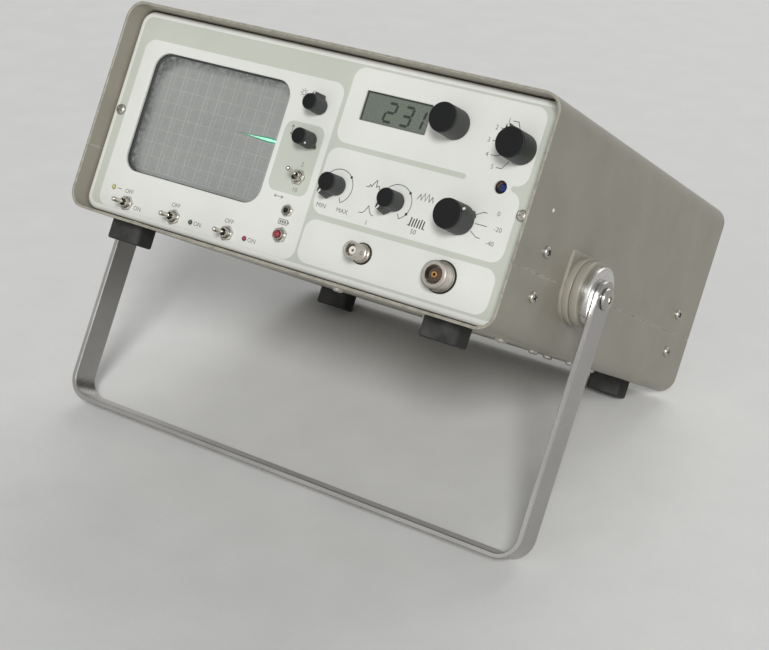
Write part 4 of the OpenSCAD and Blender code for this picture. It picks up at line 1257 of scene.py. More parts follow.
    def signs(self) -> Form:
        """Draw the brightness, side-to-side and battery signs.

        Returns:
            The print.
        """
        form = Inked(Layer.PANEL, self.line)
        sun = self.drawing.anchor("intensity_turn") + Vector((-13.4, 0, 5.6))
        disc, rays = 1.2, (1.8, 2.6)
        form.stroke([*circle(sun.x, sun.z, disc, 20), (sun.x + disc, sun.z)])
        for turn in range(0, 360, 45):
            form.stroke([polar(sun, r, turn) for r in rays])
        side = self.drawing.anchor("sideways_adjust")
        form.arrow(side.x - 9.0, side.z + 6.6, 3.0)
        cell = self.drawing.centre("monitor_button")
        x, z = cell.x - 1.0, cell.z + 7.6
        form.fill(round_rect(x - 3.2, z - 1.6, x + 3.2, z + 1.6, 0.3, 2),
                  round_rect(x - 2.8, z - 1.2, x + 2.8, z + 1.2, 0.2, 2))
        form.fill(round_rect(x + 3.3, z - 0.7, x + 4.0, z + 0.7, 0.2, 2))
        for left in (x - 2.3, x - 0.7, x + 0.9):
            form.fill(round_rect(left, z - 0.8, left + 1.1, z + 0.8, 0.1, 2))
        return form

    def patch_signs(self) -> Form:
        """Draw the up-down sign and the numbers on the grey patch.

        Returns:
            The print.
        """
        form = Inked(Layer.FIELD, self.line)
        knob = self.drawing.anchor("position_turn")
        form.arrow(knob.x - 13.6, knob.z + 3.6, 2.8, upright=True)
        toggle = self.drawing.anchor("scale_throw")
        for words, rise in (("2", 7.6), ("10", -7.2)):
            form.write(words, self.capital, toggle.x, toggle.z + rise)
        return form

    def numbers(self) -> Form:
        """Draw the plain numbers and ON and OFF beside the controls.

        Returns:
            The print.
        """
        form = Inked(Layer.PANEL, self.line)
        labels = []
        band, knob = (self.drawing.anchor(f"{name}_turn") for name in ("band", "reference"))
        for i, turn in enumerate(self.BANDS):
            x, z = polar(band, 15.0, turn)
            labels.append((str(i + 1), x - 5.6, z))
        for words, turn in zip(("0", "-20", "-40"), self.LEVELS):
            x, z = polar(knob, 16.2, turn)
            labels.append((words, x + 6.6, z))
        for joint, words, dx, dz in (
            ("sweep_turn", "MIN", -6.6, -12.6), ("sweep_turn", "MAX", 7.4, -12.6),
            ("span_turn", "1", -14.2, -15.2), ("span_turn", "50", 15.6, -13.0),
            ("power_throw", "OFF", -1.0, 7.0), ("power_throw", "ON", 8.4, -1.4),
            ("charge_throw", "OFF", -1.0, 7.0), ("supply_throw", "OFF", -1.0, 7.0),
        ):
            spot = self.drawing.anchor(joint)
            labels.append((words, spot.x + dx, spot.z + dz))
        lamps = [self.drawing.centre(f"{name}_lamp") for name in ("charge", "supply")]
        labels += [("ON", lamp.x + 5.4, lamp.z) for lamp in lamps]
        for words, x, z in labels:
            form.write(words, self.capital, x, z)
        return form

    def build(self) -> None:
        """Lay every printed layer on the panel."""
        self.fields()
        place = self.drawing.on_panel(0, 0)
        dark = Form().join(self.lines(), place).join(self.waves(), place)
        Piece("panel_scale_lines", dark, LINE_INK, Slot.PANEL).place(self.drawing)
        soft = Form()
        for part in (self.signs(), self.patch_signs(), self.numbers()):
            soft.join(part, place)
        Piece("panel_legends", soft, INK, Slot.PANEL).place(self.drawing)


@dataclass
class Screen:
    """The filter, its ruled lines with their painted reflections, the dark edge behind the window with its
    painted shadow, the painted shade along its border and the lit trace.

    Heights of layers are measured from the tube's face.
    """

    drawing: Drawing
    panel: FrontPanel
    margin: float = 4.0
    sheet_back: float = 0.2
    sheet_edge: float = 0.3
    mask_gap: float = 0.2
    # How far the black edge covers the window at the left, bottom, right and top: wider at the left and top
    # as painted shadow.
    covered: Box = (1.0, 0.6, 0.4, 1.0)
    mask_at: tuple[float, float] = (0.06, 0.12)
    border_at: tuple[float, float] = (0.02, 0.035)
    ruled_at: tuple[float, float] = (0.004, 0.014)
    trace_at: float = 0.07
    inset: float = 3.0
    columns: int = 10
    rows: int = 8
    ruled: float = 0.55
    ruled_across: float = 0.3
    reflection_shift: float = 2.6
    reflection_w: float = 0.35
    trace: tuple[float, float, float] = (-58.0, -24.6, 68.6)

    def build(self) -> None:
        """Draw what shows in the screen window."""
        low, high = self.drawing.box("screen_filter")
        x0, z0, x1, z1 = self.panel.window
        r = self.panel.window_r
        front = self.drawing.panel_y - low.y
        back = self.drawing.panel_y - high.y
        face = self.drawing.on_panel(0, 0) @ Matrix.Translation((0, 0, back))
        glass = round_rect(low.x, low.z, high.x, high.z, r + self.margin)
        sheet = Form().plate(glass, [], self.sheet_back, front - back, self.sheet_edge, face)
        Piece("screen_filter_sheet", sheet, FILTER, Slot.FILTER,
              nodes=("screen_filter",)).place(self.drawing)
        left, lower, right, upper = self.covered
        shown = round_rect(x0 + left, z0 + lower, x1 - right, z1 - upper, r)
        mask = Form().plate(grow(glass, -self.mask_gap), [shown], *self.mask_at, 0, face)
        Piece("screen_edge_mask", mask, DARK_EDGE_SHADOW, Slot.BLACK).place(self.drawing)
        # A plate of painted shade over the tube's face.
        dim = Form().plate(round_rect(x0, z0, x1, z1, r), [], *self.border_at, 0, face)
        border = PaintedShade("painted screen shade", (96, 98, 96), 0.5, 0.5, 0.1, 0.02, size=(x1 - x0, z1 - z0))
        Piece("screen_dim_border", dim, border, Slot.TUBE).place(self.drawing)
        Piece("screen_graticule", self.ruling(face), GRATICULE, Slot.TUBE).place(self.drawing)
        self.light(face)

    def ruling(self, face: Matrix) -> Form:
        """Draw the ruled lines, and beside each upright one a fainter painted reflection of it.

        Args:
            face: Where the tube's face is.

        Returns:
            The lines.
        """
        x0, z0, x1, z1 = self.panel.window
        left, right = x0 + self.inset, x1 - self.inset
        lower, upper = z0 + self.inset, z1 - self.inset
        form = Form()
        # The second set is a fainter painted reflection beside each upright line.
        sets = [(0.0, self.ruled, self.columns + 1), (self.reflection_shift, self.reflection_w, self.columns)]
        for shift, width, count in sets:
            for i in range(count):
                x = left + shift + (right - left) * i / self.columns
                form.ribbon([(x, lower), (x, upper)], width, *self.ruled_at, face)
        for i in range(self.rows + 1):
            z = lower + (upper - lower) * i / self.rows
            form.ribbon([(left, z), (right, z)], self.ruled_across, *self.ruled_at, face)
        return form

    def light(self, face: Matrix) -> None:
        """Draw the lit trace and its soft halo.

        Args:
            face: Where the tube's face is.
        """
        start, end, z = self.trace
        steps, thick = 16, 0.02
        for name, half, lift, colour, glow in (
            ("trace_halo", 2.3, 0.0, (46, 170, 122), 0.3),
            ("trace_core", 1.0, 0.03, (178, 255, 218), 0.9),
        ):
            upper = []
            for i in range(steps + 1):
                share = i / steps
                swell = share ** 1.6 * min(1, 3 * (1.12 - share))
                upper.append((start + (end - start) * share, z + half * swell))
            lower = [(x, 2 * z - top) for x, top in upper[:0:-1]]
            base = self.trace_at + lift
            form = Form().plate(upper + lower, [], base, base + thick, 0, face)
            finish = Lit(name.replace("_", " "), colour, 0.4, 0.5, 0.05, 0.02, glow=glow, fade=(start, end))
            Piece(name, form, finish, Slot.TUBE).place(self.drawing)


@dataclass
class Readout:
    """The number display with its slanted segments and the dark gasket round it, wider at the left and top
    as painted shadow of the recess.
    """

    drawing: Drawing
    panel: FrontPanel
    number: str = "231"
    height: float = 10.6
    width: float = 5.6
    stroke: float = 1.5
    first: tuple[float, float] = (41.6, 99.6)
    steps: tuple[float, ...] = (0.0, 10.8, 24.2)
    slant: float = 0.14
    glass_edge: float = 0.2
    digit_t: float = 0.03
    # How far the gasket covers the window at the left, bottom, right and top: wider at the left and top as
    # painted shadow of the recess.
    covered: Box = (0.9, 0.25, 0.25, 0.8)
    gasket_shadow_gap: float = 0.05
    gasket_shadow_t: float = 0.3

    SEGMENTS = {"1": "ef", "2": "abged", "3": "abgcd"}

    def segment(self, key: str) -> Outline:
        """Draw one bar of a digit about the digit's middle.

        Args:
            key: Letter of the bar, from a to g.

        Returns:
            The bar's outline.
        """
        w, h, half = self.width / 2, self.height / 2, self.stroke / 2
        gap = 0.15
        ends = {
            "a": ((-w, h), (w, h)), "g": ((-w, 0), (w, 0)), "d": ((-w, -h), (w, -h)),
            "b": ((w, h), (w, 0)), "c": ((w, 0), (w, -h)),
            "f": ((-w, h), (-w, 0)), "e": ((-w, 0), (-w, -h)),
        }
        a, b = (Vector(end) for end in ends[key])
        along = (b - a).normalized()
        side = Vector((-along.y, along.x)) * half
        a, b = a + along * gap, b - along * gap
        return [tuple(p) for p in (a, a + along * half + side, b - along * half + side,
                                   b, b - along * half - side, a + along * half - side)]

    def build(self) -> None:
        """Draw the display glass and its digits."""
        low, high = self.drawing.box("lcd_glass")
        place = self.drawing.on_panel(0, 0)
        front = self.drawing.panel_y - low.y
        back = self.drawing.panel_y - high.y
        outer = round_rect(low.x, low.z, high.x, high.z, 0.5, 3)
        sheet = Form().plate(outer, [], back, front, self.glass_edge, place)
        Piece("readout_glass", sheet, READOUT_FACE, Slot.READOUT, nodes=("lcd_glass",)).place(self.drawing)
        digits = Form()
        x0, z0 = self.first
        for step, digit in zip(self.steps, self.number):
            for key in self.SEGMENTS[digit]:
                outline = [(x0 + step + x + z * self.slant, z0 + z) for x, z in self.segment(key)]
                digits.plate(outline, [], front, front + self.digit_t, 0, place)
        Piece("readout_digits", digits, READOUT_DIGIT, Slot.READOUT).place(self.drawing)
        x0, z0, x1, z1 = self.panel.readout
        left, lower, right, upper = self.covered
        shown = round_rect(x0 + left, z0 + lower, x1 - right, z1 - upper, 0.3, 3)
        gap = self.gasket_shadow_gap
        ring = round_rect(x0 + gap, z0 + gap, x1 - gap, z1 - gap, 0.5, 3)
        gasket_shadow = Form().plate(ring, [shown], front, front + self.gasket_shadow_t, 0, place)
        Piece("readout_gasket", gasket_shadow, DARK_EDGE_SHADOW, Slot.BLACK).place(self.drawing)


class KnobSize(Enum):
    """Radius, height, nose at the top, nose at the panel and width of its tip, for each size of knob."""

    LARGE = (8.5, 16.0, 2.0, 1.0, 1.8)
    MEDIUM = (5.5, 12.0, 2.5, 4.2, 1.0)
    SMALL = (4.8, 12.0, 1.6, 1.9, 1.0)


@dataclass
class Knob:
    """A knob with a dark cap, plain or with a pointer nose and a white mark."""

    drawing: Drawing
    name: str
    size: KnobSize
    angle: float | None = None
    gap: float = 0.8
    taper: float = 0.2
    shoulder: float = 0.8
    drop: float = 1.3
    cap: float = 0.9
    ease: float = 0.35
    rim: float = 0.5
    sink: float = 0.25

    def turns(self) -> list[float]:
        """Give the angles round the knob, closer together along the nose.

        Returns:
            The angles in degrees.
        """
        r, _, nose, _, width = self.size.value
        tip = math.degrees(math.atan(width / 2 / (r + nose)))
        root = 36.0
        near = [tip * i / 2 for i in range(3)]
        flank = [tip + (root - tip) * (i + 1) / 12 for i in range(12)]
        far = [root + (180 - root) * (i + 1) / 20 for i in range(20)]
        half = near + flank + far
        return half + [-turn for turn in half[-2:0:-1]]

    def radius(self, turn: float, z: float, trim: float | None) -> float:
        """Give the knob's radius at an angle and height.

        Args:
            turn: Angle from the nose in degrees.
            z: Height over the knob's underside.
            trim: How far the nose is drawn in, or None where there is no nose.

        Returns:
            The radius.
        """
        r, h, nose, foot, width = self.size.value
        round_part = r - self.taper * z / h
        if trim is None or abs(turn) > 80:
            return round_part
        a = math.radians(abs(turn))
        reach = r + foot + (nose - foot) * z / (h - self.drop) - trim
        root = r - self.shoulder
        along = Vector((r + max(nose, foot), width / 2 - root)).normalized()
        flank = root * along.x / (math.sin(a) * along.x - math.cos(a) * along.y) - trim
        return max(round_part, min(reach / math.cos(a), flank))

    def build(self) -> None:
        """Draw the grip and the cap and, on a pointer, its mark."""
        r, h, nose, _, width = self.size.value
        spot = self.drawing.anchor(f"{self.name}_turn")
        place = self.drawing.on_panel(spot.x, spot.z) @ Matrix.Translation((0, 0, self.gap))
        place = place @ Matrix.Rotation(math.radians(self.angle or 0), 4, "Z")
        plain = self.angle is None
        top = h - self.drop
        bevel = 0.25
        shape = [(0.0, bevel), (bevel, 0.0), (top / 3, 0.0), (top * 2 / 3, 0.0)]
        shape += [(top - bevel, 0.0), (top, bevel)]
        shape = [(z, None if plain else trim) for z, trim in shape] + [(top, None), (h - self.cap, None)]
        rings = []
        for z, trim in shape:
            reaches = [(self.radius(turn, z, trim), math.radians(turn)) for turn in self.turns()]
            rings.append([Vector((reach * math.cos(a), reach * math.sin(a), z)) for reach, a in reaches])
        body = f"{self.name}_knob"
        form = Form().loft(rings, place)
        # The grip's lighter grey is painted bounce light.
        Piece(f"{body}_grip", form, KNOB_SIDE_PAINTED_LIGHT, Slot.KNOB, body, (body,), 40).place(self.drawing)
        self.build_cap(place, body)
        if not plain:
            half = max(0.45, width / 3)
            mark = round_rect(r + 0.2, -half, r + nose - 0.2, half, 0.2, 3)
            tag = Form().plate(mark, [], top, top + 0.06, 0, place)
            Piece(f"{body}_mark", tag, MARK_WHITE, Slot.KNOB, body).place(self.drawing)

    def build_cap(self, place: Matrix, body: str) -> None:
        """Draw the black rim and the disc let into it.

        Args:
            place: Where the knob stands.
            body: Body that it rides on.
        """
        r, h = self.size.value[:2]
        edge = r - self.taper
        inner = edge - self.rim
        crown = [(edge, h - self.cap), (edge, h - self.ease)]
        crown += [(edge - self.ease + x, h - self.ease + z) for x, z in arc(0, 0, self.ease, 0, 90, 4)[1:]]
        crown += [(inner, h), (inner, h - self.sink)]
        ring = Form().lathe(crown, place, 64)
        Piece(f"{body}_cap", ring, DEEP_BLACK, Slot.KNOB, body).place(self.drawing)
        fit = inner - 0.02
        disc = [(fit, h - self.sink), (fit, h - 0.12), (inner - 0.12, h - 0.05), (inner / 2, h)]
        inlay = Form().lathe(disc, place, 64)
        Piece(f"{body}_disc", inlay, KNOB_TOP, Slot.KNOB, body).place(self.drawing)


def hexagon_ring(flats: float, z: float, round_off: float = 0.0, steps: int = 48) -> list[Vector]:
    """Draw a six-sided ring, rounded off towards its flats.

    Args:
        flats: Width across the flats.
        z: Height of the ring.
        round_off: How far the corners are cut back, 0 for none.
        steps: Points round the ring.

    Returns:
        The ring.
    """
    ring = []
    for i in range(steps):
        turn = math.tau * i / steps
        off = (turn + math.pi / 6) % (math.pi / 3) - math.pi / 6
        corner = flats / 2 / math.cos(math.pi / 6 - abs(off))
        reach = min(corner, flats / 2 / math.cos(math.pi / 6) - round_off)
        ring.append(Vector((reach * math.cos(turn), reach * math.sin(turn), z)))
    return ring


def nut(flats: float, bore: float, height: float) -> Form:
    """Draw a chamfered six-sided nut with a bore.

    Args:
        flats: Width across the flats.
        bore: Diameter of the bore.
        height: Height of the nut.

    Returns:
        The nut, standing on the origin.
    """
    ease = 0.55
    cut = (1 / math.cos(math.pi / 6) - 1) * flats / 2
    rings = [
        level(circle(0, 0, bore / 2, 48), 0),
        hexagon_ring(flats, 0),
        hexagon_ring(flats, height - ease),
        hexagon_ring(flats, height - ease / 3, cut * 0.6),
        hexagon_ring(flats - 0.3, height, cut),
        level(circle(0, 0, bore / 2 + 0.25, 48), height),
        level(circle(0, 0, bore / 2, 48), height - 0.25),
    ]
    return Form().loft(rings, closed=True)


def threaded(r: float, low: float, high: float, pitch: float, depth: float) -> Outline:
    """Give a profile of ridges like a thread's.

    Args:
        r: Radius over the ridges.
        low: Height where they start.
        high: Height that they stay under.
        pitch: Distance from ridge to ridge.
        depth: Depth of the grooves.

    Returns:
        The profile, upwards.
    """
    count = int((high - low) / pitch)
    profile = []
    for i in range(count):
        z = low + i * pitch
        profile += [(r - depth, z), (r, z + pitch * 0.4), (r, z + pitch * 0.6), (r - depth, z + pitch)]
    return profile


def bushing_ridges(r: float, h: float) -> Outline:
    """Give the profile of the fine thread on a control's bushing."""
    edge, pitch, depth = 0.2, 0.7, 0.22
    return threaded(r, edge, h - edge, pitch, depth)


@dataclass
class PanelNuts:
    """Every six-sided nut on the front and back of the panel."""

    drawing: Drawing
    height: float = 2.0

    def build(self) -> None:
        """Draw all the nuts as one set."""
        form = Form()
        small = [("sweep_turn", 12), ("span_turn", 7), ("intensity_turn", 4), ("position_turn", 19),
                 ("sideways_adjust", 22)]
        large = [("tuning_turn", 10), ("band_turn", 3), ("reference_turn", 14)]
        throws = [("power_throw", 8), ("charge_throw", 25), ("supply_throw", 17), ("scale_throw", 3)]
        for joints, flats, bore in ((small, 6.4, 4.9), (large, 10.2, 7.7), (throws, 8.0, 6.1)):
            for joint, turn in joints:
                spot = self.drawing.anchor(joint)
                form.join(nut(flats, bore, self.height), self.turned(spot, turn))
        form.join(nut(8.0, 6.1, self.height), self.turned(self.drawing.centre("monitor_button"), 21))
        for name, flats, bore in (("bnc_jack", 13.0, 9.1), ("n_jack", 18.8, 15.0)):
            back = Matrix.Translation((0, 0, -PANEL_SHEET - self.height))
            form.join(nut(flats, bore, self.height), self.turned(self.drawing.centre(name), 0) @ back)
        Piece("panel_nut_set", form, PLATED, Slot.PLATED, nodes=("panel_nuts",)).place(self.drawing)

    def turned(self, spot: Vector, turn: float) -> Matrix:
        """Place a nut on the panel, turned as a hand left it."""
        return self.drawing.on_panel(spot.x, spot.z) @ Matrix.Rotation(math.radians(turn), 4, "Z")


@dataclass
class Toggles:
    """The four toggle switches: bodies, threaded bushings and bat levers."""

    drawing: Drawing
    pivot: float = 2.3
    bushing_r: float = 3.0
    bushing_h: float = 4.5
    bore_r: float = 2.1
    lever: float = 12.0
    lever_r: float = 1.45
    neck_r: float = 1.0
    ball_r: float = 1.75
    swing: float = 13.0
    body: tuple[float, float, float] = (8.0, 11.4, 9.5)

    def switch(self) -> Form:
        """Draw a switch body with its bushing.

        Returns:
            The switch, standing in the panel.
        """
        floor = -2.0
        root = floor - 0.4
        ridges = bushing_ridges(self.bushing_r, self.bushing_h)
        profile = [(AXIS_R, root), (self.bushing_r, root), *ridges,
                   (self.bushing_r - 0.3, self.bushing_h), (self.bore_r + 0.15, self.bushing_h),
                   (self.bore_r, self.bushing_h - 0.15), (self.bore_r, floor), (AXIS_R, floor)]
        form = Form().lathe(profile, steps=40)
        w, h, d = self.body
        block = bar((w, h, d), 0.5, -PANEL_SHEET - d)
        return form.join(block)

    def bat(self) -> Form:
        """Draw a lever from its ball to its round end.

        Returns:
            The lever, upright.
        """
        profile = [(r, z) for z, r in arc(0, 0, self.ball_r, 178, 55, 8)]
        tip = self.lever - self.lever_r
        profile += [(self.neck_r, 1.9), (self.neck_r + 0.05, 3.5)]
        profile += [(self.lever_r - 0.12, 7.5), (self.lever_r, tip)]
        profile += [(x, tip + z) for x, z in arc(0, 0, self.lever_r, 0, 88, 6)[1:]]
        return Form().lathe(profile, steps=28)

    def build(self) -> None:
        """Draw the four switches and levers."""
        bodies = Form()
        for name in TOGGLES:
            spot = self.drawing.anchor(f"{name}_throw")
            place = self.drawing.on_panel(spot.x, spot.z)
            bodies.join(self.switch(), place)
            angle = -self.swing if name == "scale" else 0
            tilt = Matrix.Rotation(math.radians(angle), 4, "X")
            form = Form().join(self.bat(), place @ Matrix.Translation((0, 0, self.pivot)) @ tilt)
            body = f"{name}_toggle"
            Piece(f"{body}_lever", form, PLATED, Slot.PLATED, body, (body,)).place(self.drawing)
        Piece("toggle_switches", bodies, PLATED, Slot.CONTROL, nodes=("toggle_bodies",)).place(self.drawing)


@dataclass
class PushButton:
    """The red push button in its bushing."""

    drawing: Drawing
    r: float = 1.9
    bushing_r: float = 3.0
    bushing_h: float = 3.5
    rise: float = 2.2
    inside: float = 5.0
    room: float = 1.8
    body_r: float = 4.75
    body_len: float = 12.0
    bore_r: float = 2.3

    def build(self) -> None:
        """Draw the switch and its cap."""
        spot = self.drawing.centre("monitor_button")
        place = self.drawing.on_panel(spot.x, spot.z)
        ridges = bushing_ridges(self.bushing_r, self.bushing_h)
        foot = self.bushing_h - self.inside
        floor = foot - self.room
        tail, edge = -PANEL_SHEET - self.body_len, 0.3
        profile = [(AXIS_R, tail), (self.body_r - edge, tail), (self.body_r, tail + edge),
                   (self.body_r, -PANEL_SHEET), (self.bushing_r, -PANEL_SHEET), *ridges,
                   (self.bushing_r - edge, self.bushing_h), (self.bore_r + 0.1, self.bushing_h),
                   (self.bore_r, self.bushing_h - 0.1), (self.bore_r, floor), (AXIS_R, floor)]
        form = Form().lathe(profile, place, 40)
        Piece("push_switch", form, PLATED, Slot.CONTROL, nodes=("monitor_switch",)).place(self.drawing)
        top = self.bushing_h + self.rise
        ease = 0.6
        cap = [(AXIS_R, foot), (self.r, foot), (self.r, top - ease)]
        cap += [(self.r - ease + x, top - ease + z) for x, z in arc(0, 0, ease, 0, 80, 4)[1:]]
        cap += [(0.8, top - 0.04), (AXIS_R, top)]
        form = Form().lathe(cap, place, 32)
        body = "monitor_button"
        Piece("push_cap", form, BUTTON_RED, Slot.BUTTON, body, (body,)).place(self.drawing)


def slotted(r: float, length: float, top: float, slot: float, depth: float) -> Form:
    """Draw a round rod with a screwdriver slot across its end.

    Args:
        r: Radius of the rod.
        length: Length of the rod.
        top: Height of its slotted end.
        slot: Width of the slot.
        depth: Depth of the slot.

    Returns:
        The rod.
    """
    ease = 0.2
    rod = Form().lathe([(r, top - length), (r, top - ease), (r - ease, top)], steps=32)
    cutter = Form().join(bar((3 * r, slot, 2 * depth), 0.05, top - depth))
    return carve(rod, [cutter])


@dataclass
class Trimmers:
    """The sideways shaft in its bushing and the blue trimmer behind its hole."""

    drawing: Drawing
    shaft_r: float = 1.6
    shaft_len: float = 7.9
    shaft_top: float = 1.3
    shaft_turn: float = 35.0
    slot: float = 0.8
    shaft_slot: float = 1.0
    rotor_slot: float = 0.8
    body_r: float = 5.5
    body_len: float = 8.0
    hole_r: float = 3.6
    recess: float = 1.5
    rotor_r: float = 2.1
    track_glint_r: float = 2.85
    track_glint_w: float = 0.9
    track_glint_ends: tuple[float, float] = (105.0, 185.0)
    pocket: float = 4.0

    def build(self) -> None:
        """Draw both trimmers."""
        self.build_sideways()
        self.build_zero()

    def build_sideways(self) -> None:
        """Draw the slotted shaft."""
        spot = self.drawing.anchor("sideways_adjust")
        turn = Matrix.Rotation(math.radians(self.shaft_turn), 4, "Z")
        place = self.drawing.on_panel(spot.x, spot.z) @ turn
        shape = slotted(self.shaft_r, self.shaft_len, self.shaft_top, self.slot, self.shaft_slot)
        body = "sideways_trimmer"
        rod = Form().join(shape, place)
        Piece("sideways_shaft", rod, BLACK_PLASTIC, Slot.BLACK, body, (body,)).place(self.drawing)

    def build_zero(self) -> None:
        """Draw the blue trimmer's body, its track, which is a brown painted glint at the upper left, and its
        rotor.
        """
        spot = self.drawing.anchor("zero_adjust")
        place = self.drawing.on_panel(spot.x, spot.z) @ Matrix.Translation((0, 0, -PANEL_SHEET))
        floor, tail = -self.recess, -self.body_len
        bed, edge = floor - self.pocket, 0.2
        bore = self.rotor_r + 0.05
        profile = [(AXIS_R, tail), (self.body_r - 0.3, tail), (self.body_r, tail + 0.3), (self.body_r, 0),
                   (self.hole_r, 0), (self.hole_r, floor + edge), (self.hole_r - edge, floor),
                   (bore + edge, floor), (bore, floor - edge), (bore, bed), (AXIS_R, bed)]
        form = Form().lathe(profile, place, 40)
        # Black body: partly its plastic, partly painted shade in the hole.
        Piece("zero_trimmer_body", form, DEEP_BLACK, Slot.BLACK,
              nodes=("zero_trimmer",)).place(self.drawing)
        # Brown arc at the upper left round the rotor: painted glint, drawn as the track.
        path = arc(0, 0, self.track_glint_r, *self.track_glint_ends, 8)
        track_glint = Form().ribbon(path, self.track_glint_w, floor - edge, floor + 2 * edge, place)
        Piece("zero_trimmer_track", track_glint, WINDING, Slot.BLACK).place(self.drawing)
        shape = slotted(self.rotor_r, self.pocket, floor / 2, self.slot, self.rotor_slot)
        body = "zero_rotor"
        rotor = Form().join(shape, place)
        Piece("zero_trimmer_rotor", rotor, TRIMMER_BLUE_SHADED, Slot.BLUE, body, (body,)).place(self.drawing)


@dataclass
class Lamps:
    """The three small panel lamps."""

    drawing: Drawing
    r: float = 1.3
    flange_r: float = 2.0
    flange_t: float = 1.0
    body_len: float = 4.0
    dome: float = 1.2
    neck: float = 0.1

    def build(self) -> None:
        """Draw each lamp's lens with its flange behind the panel."""
        back = -PANEL_SHEET
        tail, step = back - self.body_len, back - self.flange_t
        profile = [(AXIS_R, tail), (self.r, tail), (self.r, step), (self.flange_r, step),
                   (self.flange_r, back), (self.r, back), (self.r, self.neck)]
        rise = self.dome - self.neck
        profile += [(self.r * x, self.neck + rise * z) for x, z in arc(0, 0, 1, 15, 75, 4)]
        profile.append((AXIS_R, self.dome))
        for name, finish, slot in (("power", LAMP_YELLOW, Slot.YELLOW), ("charge", LAMP_DARK, Slot.DARK),
                                   ("supply", LAMP_RED, Slot.RED)):
            spot = self.drawing.centre(f"{name}_lamp")
            form = Form().lathe(profile, self.drawing.on_panel(spot.x, spot.z), 28)
            Piece(f"{name}_lamp_lens", form, finish, slot, nodes=(f"{name}_lamp",)).place(self.drawing)


